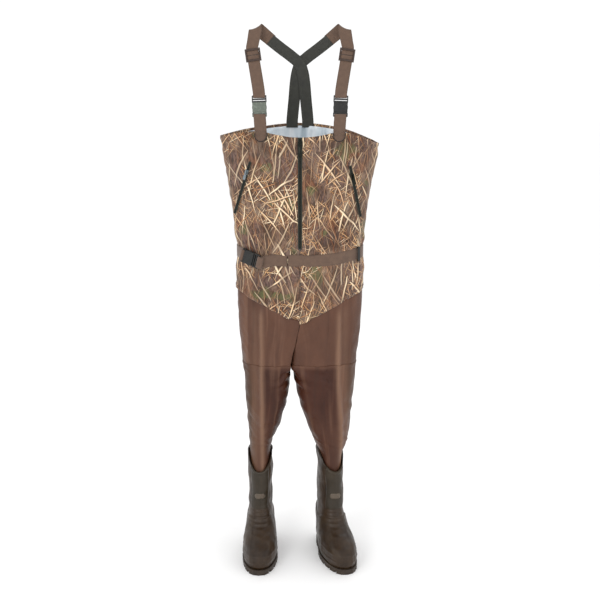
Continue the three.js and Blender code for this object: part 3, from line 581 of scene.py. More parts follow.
def webbing(name, dark, light, rib=0.0026, rough=(0.62, 0.8)):
    """Woven bands and tapes: ribs across them and cords along them, darker at the edges, with painted shade
    in the hollows of the weave.
    """
    s = Shader(name, Sheen_Weight=0.3, Sheen_Roughness=0.45, Specular_IOR_Level=0.35)
    uv = s.uv()
    x, y, _ = s.parts(uv)
    cross = s.math("SINE", s.times(y, 2 * math.pi / rib))
    cords = s.math("SINE", s.times(x, 2 * math.pi / 0.0021))
    height = s.math("ADD", s.times(cross, 0.4), s.times(cords, 0.6))
    tone = s.noise(uv, 45.0, 4.0, 0.65)
    colour = s.mix(s.step(tone, 0.2, 0.8, 0.2, 0.8), dark, light)
    # painted shade in the hollows between the ribs and cords
    colour = s.mix(s.step(height, 0.1, -0.9, 0.0, 0.35), colour, tuple(c * 0.35 for c in dark[:3]) + (1,))
    edge = s.step(s.math("ABSOLUTE", x), 0.0155, 0.0185, 0.0, 0.35)
    colour = s.mix(edge, colour, tuple(c * 0.6 for c in dark[:3]) + (1,))
    return s.finish(colour, s.step(tone, 0.3, 0.7, *rough), height, 0.4, 0.0005)


def rubber(name, dark, light, rough=(0.38, 0.6)):
    """Dusty rubber, foam or rubbered cloth."""
    s = Shader(name, Specular_IOR_Level=0.45)
    where = s.place()
    tone = s.noise(where, 16.0, 5.0, 0.62)
    colour = s.mix(s.step(tone, 0.33, 0.68), dark, light)
    dust = s.step(s.noise(where, 130.0, 4.0, 0.7), 0.56, 0.78, 0.0, 0.4)
    colour = s.mix(dust, colour, srgb(0.42, 0.37, 0.31))
    grain = s.noise(where, 900.0, 2.0, 0.6)
    height = s.math("ADD", s.times(grain, 0.4), s.noise(where, 45.0, 3.0))
    return s.finish(colour, s.step(s.noise(where, 40.0, 4.0), 0.3, 0.7, *rough), height, 0.3, 0.0012)


def boot_rubber():
    """Dark olive-brown rubber, greyer on the raised panel as a painted highlight, and paler along what stands
    out.
    """
    s = Shader("boot_rubber", Specular_IOR_Level=0.38)
    where = s.place()
    tone = s.noise(where, 14.0, 5.0, 0.62)
    colour = s.mix(s.step(tone, 0.33, 0.68), srgb(0.125, 0.07, 0.015), srgb(0.20, 0.135, 0.065))
    # painted highlight: the raised front panel is greyer
    colour = s.mix(s.times(s.read("panel"), 0.7), colour, srgb(0.16, 0.135, 0.085))
    colour = s.mix(s.step(s.read("high"), 0.45, 0.95, 0.0, 0.3), colour, srgb(0.24, 0.19, 0.125))
    dust = s.step(s.noise(where, 120.0, 4.0, 0.7), 0.55, 0.78, 0.0, 0.3)
    colour = s.mix(dust, colour, srgb(0.26, 0.20, 0.14))
    colour = s.mix(s.times(s.read("inside"), 0.8), colour, srgb(0.10, 0.085, 0.07))
    height = s.math("ADD", s.times(s.noise(where, 900.0, 2.0, 0.6), 0.35), s.noise(where, 45.0, 3.0))
    rough = s.step(s.noise(where, 38.0, 4.0), 0.3, 0.7, 0.34, 0.55)
    return s.finish(colour, rough, height, 0.3, 0.0012)


def plastic(name, base, wear_and_highlight, rough=(0.28, 0.45)):
    """Moulded plastic with fine upright scratches."""
    s = Shader(name, Specular_IOR_Level=0.5)
    where = s.place()
    tone = s.noise(where, 160.0, 4.0, 0.6)
    colour = s.mix(s.step(tone, 0.45, 0.75, 0.0, 0.5), base, wear_and_highlight)
    scratches = s.noise(s.mapping(where, scale=(1, 1, 0.15)), 900.0, 3.0, 0.7)
    colour = s.mix(s.step(scratches, 0.66, 0.74, 0.0, 0.35), colour, wear_and_highlight)
    return s.finish(colour, s.step(tone, 0.3, 0.7, *rough), scratches, 0.12, 0.0003)


def metal(name, base, rough=(0.25, 0.45), metallic=0.85):
    """Coated zip metal, rubbed bright in patches."""
    s = Shader(name, Metallic=metallic)
    where = s.place()
    tone = s.noise(where, 300.0, 4.0, 0.6)
    wear_and_highlight = tuple(min(1, c * 2.2) for c in base[:3]) + (1,)
    colour = s.mix(s.step(tone, 0.5, 0.75, 0.0, 0.5), base, wear_and_highlight)
    return s.finish(colour, s.step(tone, 0.3, 0.7, *rough), tone, 0.1, 0.0002)


def silver_lining():
    """Thin coated taffeta with a pale metallic streak, painted in as pale and darker grey streaks of
    reflection.
    """
    s = Shader("lining", Sheen_Weight=0.2, Specular_IOR_Level=0.5)
    uv = s.uv()
    # painted reflection: pale and darker grey streaks of the silvery coat
    painted_light_streak = s.noise(s.mapping(uv, scale=(1, 0.2, 1)), 22.0, 3.0, 0.6)
    greys = ((0.3, srgb(0.60, 0.66, 0.70)), (0.5, srgb(0.80, 0.84, 0.87)), (0.7, srgb(0.93, 0.94, 0.95)))
    colour = s.ramp(painted_light_streak, greys)
    height = s.math("ADD", s.times(weave(s, uv), 0.15), painted_light_streak)
    return s.finish(colour, s.step(painted_light_streak, 0.3, 0.7, 0.32, 0.5), height, 0.3, 0.002)


CAMO = camouflage()
NYLON = nylon()
WEBBING = webbing("webbing", srgb(0.315, 0.235, 0.185), srgb(0.445, 0.355, 0.295))
ELASTIC = webbing("elastic", srgb(0.14, 0.14, 0.125), srgb(0.265, 0.265, 0.24), rib=0.0016)
ZIP_TAPE = webbing("zip_tape", srgb(0.10, 0.115, 0.09), srgb(0.19, 0.205, 0.165), rib=0.0012)
THREAD = webbing("thread", srgb(0.20, 0.15, 0.12), srgb(0.34, 0.26, 0.20), rib=0.0010)
PIPING = webbing("piping", srgb(0.10, 0.075, 0.06), srgb(0.19, 0.145, 0.115), rib=0.0012)
RUBBER = boot_rubber()
SOLE = rubber("sole_rubber", srgb(0.13, 0.09, 0.055), srgb(0.21, 0.16, 0.11), rough=(0.5, 0.7))
FOAM = rubber("insole_foam", srgb(0.20, 0.19, 0.18), srgb(0.34, 0.32, 0.30), rough=(0.8, 0.95))
PLASTIC = plastic("plastic", srgb(0.055, 0.055, 0.05), srgb(0.18, 0.185, 0.165))
PLASTIC_BROWN = plastic("plastic_brown", srgb(0.20, 0.135, 0.10), srgb(0.30, 0.22, 0.17))
# a paler copy of the buckle plastic: grey-green face with a painted highlight
PLASTIC_FACE_HIGHLIT = plastic("plastic_face", srgb(0.36, 0.385, 0.35), srgb(0.50, 0.53, 0.49), rough=(0.16, 0.30))
ZIP_METAL = metal("zip_metal", srgb(0.13, 0.14, 0.12))
SILVER = metal("slider_metal", srgb(0.52, 0.56, 0.58), metallic=1.0)
LINING = silver_lining()
POCKET_CLOTH = rubber("pocket_cloth", srgb(0.30, 0.30, 0.30), srgb(0.45, 0.46, 0.46), rough=(0.7, 0.85))
GUSSET = rubber("gusset", srgb(0.16, 0.10, 0.08), srgb(0.26, 0.18, 0.14), rough=(0.5, 0.7))
BADGE = plastic("badge", srgb(0.31, 0.265, 0.215), srgb(0.40, 0.345, 0.285))


# ---------------------------------------------------------------- bib
TORSO_NODES = ["bib_front_left", "bib_front_right", "bib_back"]
TORSO_FLAT = 0.5
torso = Skin(TORSO_NODES, lambda z: (0.0, 0.0), TORSO_FLAT)
COLUMNS = 300
turns = angles_round(COLUMNS)
slot = np.abs(turns + math.pi / 2) < 0.06  # the zip's opening has no frame behind it
slot |= slot[::-1]
seams = np.abs(np.sin(turns)) < 0.02  # nor have the side seams
top_line = torso.edge(turns, up(1.30), up(1.50))
gaps = slot | seams
top_line = np.interp(turns, turns[~gaps], top_line[~gaps], period=2 * math.pi)
peaks = smooth(np.abs(np.cos(turns)), 0.93, 0.99)
top_line = blur(top_line, 3, 0, True) * (1 - peaks) + top_line * peaks
ROWS = 132
share = np.linspace(0, 1, ROWS)[:, None]
bottom_line = torso.edge(turns, up(1.0), up(0.80))
bottom_line = np.interp(turns, turns[~seams], bottom_line[~seams], period=2 * math.pi)
rise = (bottom_line[6] - bottom_line[3]) / 3
for k in range(3):  # the V runs on to its tip across the opening
    bottom_line[k] = bottom_line[-k] = bottom_line[3] - (3 - k) * rise
heights = (bottom_line + EDGE_MARGIN) * (1 - share) + (top_line - EDGE_MARGIN) * share


def belt_height(y, depth=0.104):
    """The belt dips at the front."""
    return up(1.060 - 0.022 * np.clip(-y / depth, 0, 1) ** 2)


# folds that hang from the strap ends: where each starts across the front, how it leans, its height
DRAPES = ((-0.145, 0.10, 0.004), (0.150, -0.12, 0.004), (-0.055, 0.02, 0.0025), (0.070, -0.03, 0.0028))
CROTCH_PULLS = ((0.55, 0.0035), (-0.5, 0.003), (0.95, 0.0025), (-0.9, 0.0028))  # slant in radians, height


def torso_surface():
    """The whole bib as one closed grid: its measured shape, then its folds."""
    raw = torso.sample(turns, heights)
    corner = (peaks * smooth(heights - FLOOR_Z, 1.35, 1.41))[..., None]
    grid = blur(blur(raw, 3.2, 1, True) * (1 - corner) + blur(raw, 0.6, 1, True) * corner, 2.0, 0, False)
    # the cloth's own edges: down over the legs' seam and up to the hem
    grid[..., 2] = (bottom_line - EDGE_MARGIN) * (1 - share) + top_line * share
    x, y, z = grid[..., 0], grid[..., 1], grid[..., 2] - FLOOR_Z
    run = run_round(grid)
    front = smooth(-y, -0.02, 0.05)
    push = 0.0022 * value_noise(run, z * 0.8, 0.11, 1) + 0.0012 * value_noise(run, z, 0.045, 2)
    # gathered at the belt
    belt_z = belt_height(y) - FLOOR_Z
    belt = bump(z, belt_z, 0.055) - bump(z, belt_z, 0.030)
    sway = 2.2 * value_noise(run, z * 0.2, 0.2, 3)
    push = push + 0.0034 * belt * (0.4 + np.sin(run * 2 * math.pi / 0.052 + sway))
    push = push - 0.004 * bump(z, belt_z, 0.034)
    # long drape folds that run down from the strap ends, and pulls towards the crotch
    hanging = front * smooth(z, 1.02, 1.12) * smooth(1.44 - z, 0.0, 0.12)
    for centre, lean, size in DRAPES:
        push = push + hanging * size * bump(x, centre + lean * (1.40 - z), 0.018)
    low_middle = front * smooth(1.0 - z, 0, 0.12) * bump(x, 0, 0.09)
    for tilt, size in CROTCH_PULLS:
        across = x * math.cos(tilt) + (z - SEAM_HEIGHT) * math.sin(tilt) * np.sign(x)
        push = push + low_middle * size * np.sin(across * 2 * math.pi / 0.06)
    # the cloth lies flat under the pocket zips and beside the main one
    zip_line = np.where(x > 0, 0.155 + (1.340 - z) * 0.219, 0.152 + (1.353 - z) * 0.305)
    calm = front * bump(np.abs(x), zip_line, 0.013) * smooth(z, 1.165, 1.185) * smooth(1.385 - z, 0.0, 0.02)
    push = push * (1 - calm) - 0.0010 * calm
    calm = front * bump(x, 0.0, 0.014) * smooth(z, 1.060, 1.090)
    push = push * (1 - 0.85 * calm) - 0.0012 * calm
    # the centre seam below the zip
    push = push - front * 0.0022 * bump(x, 0.0, 0.0045) * smooth(1.075 - z, 0.0, 0.03)
    push = push + 0.0012 * bump(z - SEAM_HEIGHT, np.abs(x) * SEAM_SLOPE + 0.010, 0.006)
    top_gap = (top_line - FLOOR_Z) - z
    push = push - 0.0008 * bump(top_gap, 0.016, 0.0025) + 0.0006 * bump(top_gap, 0.006, 0.006)
    return grid + normals_of(grid, True) * push[..., None]


bib = torso_surface()
ZIP_HALF = 0.0062  # half the width of the cloth's opening at the zip
ZIP_FOOT = 1.076


def column_near(angle):
    """The bib's column nearest to an angle."""
    return int(round((angle + math.pi / 2) / (2 * math.pi) * COLUMNS)) % COLUMNS


def zip_edge(grid, side):
    """Moves the columns beside the front centre back to the edge of the zip's opening."""
    moved = grid.copy()
    z = moved[..., 2] - FLOOR_Z
    shut, reach = 0.0004, 0.05
    open_half = shut + (ZIP_HALF - shut) * smooth(z, ZIP_FOOT - 0.006, ZIP_FOOT + 0.006)
    depth = np.abs(moved[..., 0])
    shifted = open_half + depth * (1 - open_half / reach)
    near = (depth < reach) & (moved[..., 1] < 0)
    moved[..., 0] = np.where(near, side * shifted, moved[..., 0])
    # the cloth turns in at the zip
    turned = bump(np.abs(moved[..., 0]), open_half, 0.0022) * smooth(z, ZIP_FOOT - 0.01, ZIP_FOOT + 0.01)
    moved[..., 1] += 0.0016 * turned
    return moved


left_seam, right_seam = column_near(0), column_near(math.pi)
front_left = zip_edge(bib[:, : left_seam + 1], 1)
front_right = zip_edge(np.concatenate([bib[:, right_seam:], bib[:, :1]], 1), -1)
back = bib[:, left_seam : right_seam + 1]
for name, grid, node, shift in (
    ("bib_front_left_cloth", front_left, "bib_front_left", (0.0, 0.0)),
    ("bib_front_right_cloth", front_right, "bib_front_right", (-0.42, 0.0)),
    ("bib_back_cloth", back, "bib_back", (1.3, 0.4)),
):
    piece = cloth(name, grid, CAMO, shift=shift)
    dress(piece, "camouflage", "bib", node)
    declare_cloth(grid)


# ---------------------------------------------------------------- legs
def leg_nodes(side):
    name = "left" if side > 0 else "right"
    return [f"{part}_{name}" for part in ("shin", "knee_band", "thigh", "hip_band")]


def leg_centre(side):
    """The leg's upright axis against height: over the boot at the bottom, under the hip at the top."""
    places = []
    for node in leg_nodes(side):
        low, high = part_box(node)
        places.append(((low.z + high.z) / 2, (low.x + high.x) / 2, (low.y + high.y) / 2))
    z, x, y = zip(*places)
    return lambda height: (float(np.interp(height, z, x)), float(np.interp(height, z, y)))


def leg_shape(side):
    """(a leg's smooth closed grid, the V seam's height at each column, the line where the legs meet, how
    far each point lies on that line, how many rows are below the knee seam)."""
    skin = Skin(leg_nodes(side), leg_centre(side))
    count = 156
    angles = angles_round(count)
    crest = blur(skin.edge(angles, up(0.75), up(1.0)), 1, 0, True)
    spread = np.linspace(0, 1, 56)[:, None]
    upper_z = up(KNEE_SEAM) * (1 - spread) + (crest - EDGE_MARGIN) * spread
    lower_rows = np.linspace(up(LEG_END), up(KNEE_SEAM), 92)[:-1, None]
    z_all = np.concatenate([np.repeat(lower_rows, count, 1), upper_z])
    raw = skin.sample(angles, z_all)
    soft = blur(blur(raw, 3.0, 1, True), 3.0, 0, False)
    z = z_all - FLOOR_Z
    # the legs' inner faces meet along a line that leans to the wearer's right
    line = np.interp(z, [0.640, 0.684, 0.723, 0.754, 0.833], [-0.0305, -0.0300, -0.0238, -0.0156, 0.0])
    touching = smooth(z, 0.654, 0.670)
    inner = smooth(-side * (raw[..., 0] - line), -0.032, -0.012)
    keep = np.maximum(smooth(z_all, crest - 0.09, crest - 0.01), touching * inner)[..., None]
    grid = soft * (1 - keep) + blur(raw, 1.2, 1, True) * keep
    close = touching * smooth(-side * (grid[..., 0] - line), -0.036, -0.015)
    grid[..., 0] = grid[..., 0] * (1 - close) + (line + side * 0.0006) * close
    grid[..., 2] = z_all
    return grid, crest, line, close, len(lower_rows)


def leg_folds(grid, line, crease, side):
    """How far the folds push each point of a leg out."""
    x, z = grid[..., 0], grid[..., 2] - FLOOR_Z
    front = front_of(grid)
    run = run_round(grid)
    push = 0.0014 * value_noise(run, z * 0.7, 0.13, 11 + side) + 0.0008 * value_noise(run, z, 0.05, 14 + side)
    # the pressed crease down the front, and the hollows beside it
    ridge = bump(x, crease, 0.009) - 0.5 * bump(x, crease - side * 0.030, 0.020)
    ridge = ridge - 0.25 * bump(x, crease + side * 0.030, 0.018)
    push = push + front * 0.0075 * ridge * (0.6 + 0.4 * smooth(z, 0.42, 0.62))
    # soft folds that fall from the seam
    for place, size, low in ((0.045, 0.0035, 0.70), (0.083, 0.0030, 0.60), (0.165, 0.0035, 0.50)):
        push = push + front * size * bump(x, side * place, 0.013) * smooth(z, low, low + 0.15)
    # creases that fan out from the crotch
    fan = front * bump(x, line, 0.06) * smooth(z, 0.70, 0.80)
    for lean, size in ((0.55, 0.0022), (1.1, 0.0018)):
        away = np.abs(x - line) * lean + (SEAM_HEIGHT - 0.02 - z)
        push = push + size * fan * np.sin(away * 2 * math.pi / 0.045)
    # wrinkles at the knee, slanting and gathered towards the inside, then down the shin, and where the
    # cloth drops into the boot
    knee = front * smooth(-side * (x - side * 0.125), -0.02, 0.05)
    for mask, at, reach, size, slant, pitch, sway, scale, seed in (
        (knee, 0.645, 0.045, 0.0034, side * 0.45, 0.050, 1.8, 0.12, 21),
        (1, 0.500, 0.070, 0.0016, -side * 0.5, 0.070, 2.2, 0.15, 22),
        (1, 0.385, 0.030, 0.0026, 0.3, 0.032, 2.6, 0.09, 23),
    ):
        swirl = sway * value_noise(run, z, scale, seed)
        wrinkle = np.sin((z + slant * x) * 2 * math.pi / pitch + swirl)
        push = push + mask * bump(z, at, reach) * size * wrinkle
    return push


def front_of(grid):
    """1 on a leg's front, 0 on its back."""
    return smooth(-grid[..., 1], -0.01, 0.03)


def leg_grids(side):
    """((grid, shade) of the lower part, the same of the upper part) of a leg. The shade is how far each
    point is darker on the inner front below the knee seam, darker on the outer side as painted shade, and
    paler along the crease as a painted highlight."""
    grid, crest, line, close, split = leg_shape(side)
    x, height = grid[..., 0], grid[..., 2].copy()
    z = height - FLOOR_Z
    front = front_of(grid)
    crease = side * 0.1255 + (0.014 if side > 0 else -0.002) * smooth(0.68 - z, 0, 0.30)
    off_crest = smooth(crest - height, 0.0, 0.05)
    tucked = 1 - smooth(crest - height, 0.0, 0.008)  # behind the camouflage
    push = leg_folds(grid, line, crease, side)
    push = push * off_crest * (0.1 + 0.9 * smooth(z, 0.365, 0.43)) * (1 - 0.9 * close) - 0.0016 * tucked
    push = push + (0.0012 * bump(z, KNEE_SEAM - 0.006, 0.004) - 0.001 * bump(z, KNEE_SEAM + 0.002, 0.002))
    folded = grid + normals_of(grid, True) * push[..., None]
    folded[..., 2] += 0.0035 * tucked
    # the darker inner front, bounded by the crease and the knee seam
    panel = smooth(side * (crease - x), -0.002, 0.010 + 0.02 * smooth(0.60 - z, 0, 0.2))
    dark = front * panel * smooth(KNEE_SEAM - z, 0.0, 0.02) * (0.55 + 0.45 * smooth(z, 0.36, 0.60))
    # painted shade: each leg's outer side is darker and more olive
    outer = smooth(side * (x - crease), 0.012, 0.045) * smooth(0.80 - z, 0, 0.25)
    # painted highlight: a paler line down the pressed crease and a fainter one beside it
    wear_and_highlight = front * (bump(x, crease, 0.0075) + 0.35 * bump(x, crease + side * 0.024, 0.010)) * off_crest
    shade = np.stack([dark, outer, wear_and_highlight], -1)
    return (folded[: split + 1], shade[: split + 1]), (folded[split:], shade[split:])


def tint(piece, shade):
    """Stores the shade of every grid point, on both faces of the cloth, for its material."""
    flat = shade.reshape(-1, shade.shape[-1])
    both = np.concatenate([flat, flat])
    store(piece.data, {name: both[:, k] for k, name in enumerate(("dark", "outer", "wear_and_highlight"))})


def wrapped(grid):
    """A closed grid with its first column again at the end."""
    return np.concatenate([grid, grid[:, :1]], 1)


for name, side in SIDES:
    (lower, lower_shade), (upper, upper_shade) = leg_grids(side)
    top = cloth(f"leg_{name}_upper_cloth", upper, NYLON, closed=True, shift=(0.2 * side, 0))
    tint(top, upper_shade)
    dress(top, "nylon", None, f"hip_band_{name}", f"thigh_{name}")
    declare_cloth(wrapped(upper))
    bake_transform(top)
    shank = cloth(f"leg_{name}_lower_cloth", lower, NYLON, closed=True, shift=(0.2 * side, 0))
    tint(shank, lower_shade)
    dress(shank, "nylon", None, f"knee_band_{name}", f"shin_{name}")
    declare_cloth(wrapped(lower))
    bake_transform(shank)


# ---------------------------------------------------------------- lining, facing and stitching
def bib_offset(rows_at, depth):
    """A grid that follows the bib at some heights, a depth inside it."""
    base = bib - normals_of(bib, True) * depth
    base[..., 0] *= 1 - 0.045 * smooth(np.abs(np.cos(turns)), 0.80, 0.98)  # clear of the folded sides
    out = np.empty((len(rows_at), COLUMNS, 3))
    for c in range(COLUMNS):
        z = base[:, c, 2]
        for k in range(2):
            out[:, c, k] = np.interp(rows_at[:, c], z, base[:, c, k])
    out[..., 2] = rows_at
    return out


def lining_piece():
    """The silvery lining, gathered in soft upright folds."""
    down = np.linspace(0, 1, 90)[:, None]
    rows_at = up(LINING_FOOT) * (1 - down) + (top_line - 0.009) * down
    grid = bib_offset(rows_at, 0.0075)
    run = run_round(grid)
    z = grid[..., 2] - FLOOR_Z
    folds = 0.0022 * np.sin(run * 2 * math.pi / 0.043 + 2.5 * value_noise(run, z * 0.3, 0.2, 31))
    for front_centre in (-math.pi / 2, 3 * math.pi / 2):  # none behind the zip
        folds = folds * smooth(np.abs(turns - front_centre), 0.25, 0.6)
    grid = grid + normals_of(grid, True) * (folds - 0.001)[..., None]
    piece = cloth("lining_cloth", grid, LINING, closed=True, thick=0.0010)
    dress(piece, "lining", "bib", "lining")
    declare_cloth(wrapped(grid))


def facing_piece():
    """The strip of bib cloth turned in and sewn down inside the top edge, open at the zip."""
    down = np.linspace(0, 1, 7)[:, None]
    rows_at = (top_line - HEM_DEPTH) * (1 - down) + (top_line - 0.0006) * down
    zip_columns = 8
    grid = bib_offset(rows_at, 0.0034)[:, zip_columns:-zip_columns]
    piece = cloth("top_facing", grid, CAMO, thick=0.0016, shift=(0.7, 0.2))
    dress(piece, "camouflage", "bib", "top_hem")
    declare_cloth(grid)


lining_piece()
facing_piece()


def beads(name, middles, along, out, size, material, taper=0.6):
    """Many small six-sided beads: stitches or zip teeth. Size is (length, width, height)."""
    points, faces = [], []
    length, width, height = size
    for centre, run, normal in zip(middles, along, out):
        run, normal = np.asarray(run, float), np.asarray(normal, float)
        run = run / np.linalg.norm(run)
        across = np.cross(normal, run)
        across /= np.linalg.norm(across)
        normal = np.cross(run, across)
        base = len(points)
        for place, scale in ((-0.5, taper), (-0.3, 1.0), (0.3, 1.0), (0.5, taper)):
            for k in range(6):
                turn = k * math.pi / 3
                aside = across * math.cos(turn) * width / 2 + normal * math.sin(turn) * height / 2
                points.append(centre + run * place * length + aside * scale)
        for ring in range(3):
            for k in range(6):
                n = (k + 1) % 6
                low, high = base + ring * 6, base + (ring + 1) * 6
                faces.append([low + k, low + n, high + n, high + k])
        faces.append([base + k for k in reversed(range(6))])
        faces.append([base + 18 + k for k in range(6)])
    return new_object(name, points, faces, material)


def stitch_line(name, path, normals, pitch=0.0042, size=(0.0028, 0.0008, 0.0007)):
    """A row of stitches along a path that lies on the bib."""
    spots, lean = curve_points(path, pitch / 2, normals)
    middles = spots[1:-1:2]
    along = spots[2::2][: len(middles)] - spots[0:-2:2][: len(middles)]
    lean = lean[1:-1:2]
    piece = beads(name, middles + lean * 0.0002, along, lean, size, THREAD)
    dress(piece, "webbing", "bib")


bib_normals = wrapped(normals_of(bib, True))
for name, row, kept in (("hem_stitches", ROWS - 6, slice(4, -4)), ("leg_seam_stitches", 3, slice(None))):
    lean = bib_normals[row, kept]
    stitch_line(name, wrapped(bib)[row, kept] + lean * 0.0002, lean)
for name, panel, column in (("left", front_left, 3), ("right", front_right, -4)):
    rising = panel[:, column]
    kept = (rising[:, 2] > up(ZIP_FOOT + 0.004)) & (rising[:, 2] < up(1.42))
    stitch_line(f"zip_stitches_{name}", rising[kept], normals_of(panel, False)[:, column][kept])


# ---------------------------------------------------------------- shoulder straps
STRAP_LEAN = 83 / 290  # how far the straps lean back as they rise
STRAP_FACE = (0, -1, STRAP_LEAN)
AHEAD = (1, 0, 0)  # across a strap that hangs at the front
BACK_FACE = (0, 1, 0.3)
HANGER_HEIGHT = 1765  # millimetres
FOLD_TILT = math.radians(25)  # of the fold over the hanger
FOLD_RADIUS = 0.007


def spot(x, y, height):
    """A point from millimetres and a height above the soles."""
    return np.array([x / 1000, y / 1000, up(height / 1000)])


def strap_spot(side, x, height):
    """A point of a front strap's middle line, in millimetres."""
    return spot(side * x, -93 + (height - 1452) * STRAP_LEAN, height)


def local_frame(origin, rising, outwards):
    """A function from (y, z) in millimetres to a point: z runs along rising and -y looks outwards."""
    z = unit(rising)
    y = -unit(outwards)
    y = unit(y - z * (y @ z))
    return lambda dy, dz: origin + y * dy / 1000 + z * dz / 1000


def rounded_start(line, reach):
    """Widths that round off a strap's first end over a reach."""
    widths = np.full(len(line), WEB)
    step = np.linalg.norm(line[1] - line[0])
    for i in range(len(line)):
        drop = reach - i * step
        if drop > 0:
            widths[i] = WEB * math.sqrt(max(0.02, 1 - (drop / reach) ** 2))
    return widths


def strap_tab(name, side, buckle):
    """The tab sewn on the bib, up through the buckle's bar and down behind."""
    foot = strap_spot(side, 122, 1421) + np.array([0, -0.0038, 0])
    raised = np.array([0, -0.0042, 0])
    knots = [foot, strap_spot(side, 122.5, 1440) + raised, strap_spot(side, 123, 1458) + raised]
    round_bar = ((-6.6, -23), (-6.0, -17.4), (-3, -15.4), (3, -15.4), (6.0, -17.4), (6.4, -23))
    knots += [buckle(*at) for at in round_bar]
    knots.append(strap_spot(side, 124, 1472) + np.array([0, 0.0036, 0]))
    line = curve_points(knots, STRAP_STEP)
    tab = strap(f"strap_tab_{name}", line, AHEAD, WEBBING, width=rounded_start(line, WEB / 2))
    dress(tab, "webbing", "bib", f"strap_anchor_{name}")
    # the piping round its rounded end
    radius = 0.0195
    rim = [foot + np.array([math.sin(a) * radius, -0.0002, WEB / 2 - math.cos(a) * radius])
           for a in np.linspace(-1.9, 1.9, 25)]
    rim = curve_points(rim, 0.002)
    piping = strap(f"tab_piping_{name}", rim, (0, -1, 0), PIPING, width=0.0030, thick=0.0026, edge_round=0.5)
    dress(piping, "webbing", "bib")


def tab_stitches(name, side):
    """A box of stitches with a cross in it, on the tab."""
    a, b, c, d = (-15, 1438), (15, 1438), (15, 1452), (-15, 1452)
    corners = [a, b, c, d, a, c, b, d]
    pitch = 3.4
    middles, along = [], []
    for (x0, z0), (x1, z1) in zip(corners, corners[1:]):
        count = int(max(2, math.hypot(x1 - x0, z1 - z0) / pitch))
        for t in (np.arange(count) + 0.5) / count:
            shift = np.array([(x0 + (x1 - x0) * t) / 1000, -0.0053, 0])
            middles.append(strap_spot(side, 122.6, z0 + (z1 - z0) * t) + shift)
            along.append((x1 - x0, 0, z1 - z0))
    faces = [STRAP_FACE] * len(middles)
    box = beads(f"tab_stitches_{name}", middles, along, faces, (0.0026, 0.0008, 0.0007), THREAD)
    dress(box, "webbing", "bib")


def lower_run(name, buckle, adjuster):
    """From the adjuster down round the plug's bar and back up behind."""
    knots = [adjuster(0.2, -0.8), adjuster(-0.3, -24)]
    knots += [buckle(*at) for at in ((-4.6, 54), (-4.4, 41), (-2.2, 37.4), (2.2, 37.4), (4.4, 41), (4.6, 50))]
    knots += [adjuster(4.8, -26), adjuster(2.6, -5)]
    run = strap(f"strap_lower_{name}", curve_points(knots, STRAP_STEP), AHEAD, WEBBING)
    dress(run, "webbing", None, f"webbing_lower_{name}")
    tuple(adjuster(0, -20))
    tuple(buckle(0, 52))
    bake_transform(run)


def across_back(rising):
    """The direction across a strap that lies on the back and rises some way, towards +X."""
    across = np.cross(unit(rising), unit(BACK_FACE))
    return across * np.sign(across[0])


def over_shoulder(name, side, adjuster):
    """Over the fold at the top and down the back to the elastic, which crosses to the other side."""
    fold_axis = np.array([math.cos(FOLD_TILT), 0, -side * math.sin(FOLD_TILT)])
    fold_up = np.array([side * math.sin(FOLD_TILT), 0, math.cos(FOLD_TILT)])
    centre = spot(side * 138, 0, HANGER_HEIGHT) + fold_up * (0.0008 - FOLD_RADIUS)
    down_back = unit((-side * 129, 54, -106))

    def on_fold(turn):
        out = fold_up * math.cos(turn) + np.array([0, math.sin(turn), 0])
        return centre + out * FOLD_RADIUS - fold_axis * side * FOLD_RADIUS * turn * math.tan(FOLD_TILT)

    end = on_fold(math.radians(72))
    layer = side * 2.1  # one elastic lies on the other
    elastic = [end + down_back * 0.052 - np.array([0, 0.0004, 0.0014]), end + down_back * 0.0945]
    elastic += [spot(side * x, y, height) for x, y, height in (
        (24, 50 + layer, 1677), (2, 60 + layer, 1657), (-8, 68 + layer, 1633), (-14, 76 + layer, 1600),
        (-19, 88 + layer, 1545), (-24, 97 + layer * 0.6, 1495), (-26, 98.6, 1470), (-26, 98.6, 1452))]
    start_wide = across_back(elastic[2] - elastic[1])

    # (point, direction across it, how much wider the slanting fold makes it)
    slant = 1 / math.cos(FOLD_TILT)
    knots = [(at, AHEAD, 1.0) for at in (adjuster(-0.2, 0.8), adjuster(0, 22), strap_spot(side, 147.2, 1722))]
    knots += [(on_fold(turn), fold_axis, slant) for turn in np.radians(np.linspace(-66, 66, 9))]
    for distance in (0.020, 0.040, 0.058):
        t = distance / 0.0925
        knots.append((end + down_back * distance, fold_axis * (1 - t) + start_wide * t, slant * (1 - t) + t))
    line, carried = curve_points([k[0] for k in knots], STRAP_STEP, [(*k[1], k[2]) for k in knots])
    over = strap(f"strap_shoulder_{name}", line, carried[:, :3], WEBBING, width=WEB * carried[:, 3])
    dress(over, "webbing", "bib", f"webbing_shoulder_{name}")

    facing = [across_back(b - a) for a, b in zip(elastic, elastic[1:])]
    facing = [unit(fold_axis * 0.44 + start_wide * 0.56)] + facing[1:] + facing[-1:]
    line, carried = curve_points(elastic, STRAP_STEP, facing)
    stretchy = strap(f"elastic_{name}", line, carried, ELASTIC, thick=0.0019)
    dress(stretchy, "elastic", "bib", f"back_elastic_{name}")
    elastic_seam(name, end, down_back, unit(start_wide))


def elastic_seam(name, end, down_back, across):
    """Two rows of stitches where the strap and the elastic are joined."""
    lift = np.cross(down_back, across)
    lift = lift * 0.0012 * np.sign(lift[1])
    middles = [end + down_back * row + across * t * WEB - lift
               for row in (0.0535, 0.0565) for t in np.linspace(-0.44, 0.44, 11)]
    count = len(middles)
    seam = beads(f"elastic_seam_{name}", middles, [across] * count, [(0, -1, 0.3)] * count,
                 (0.0026, 0.0008, 0.0008), THREAD)
    dress(seam, "webbing", "bib")


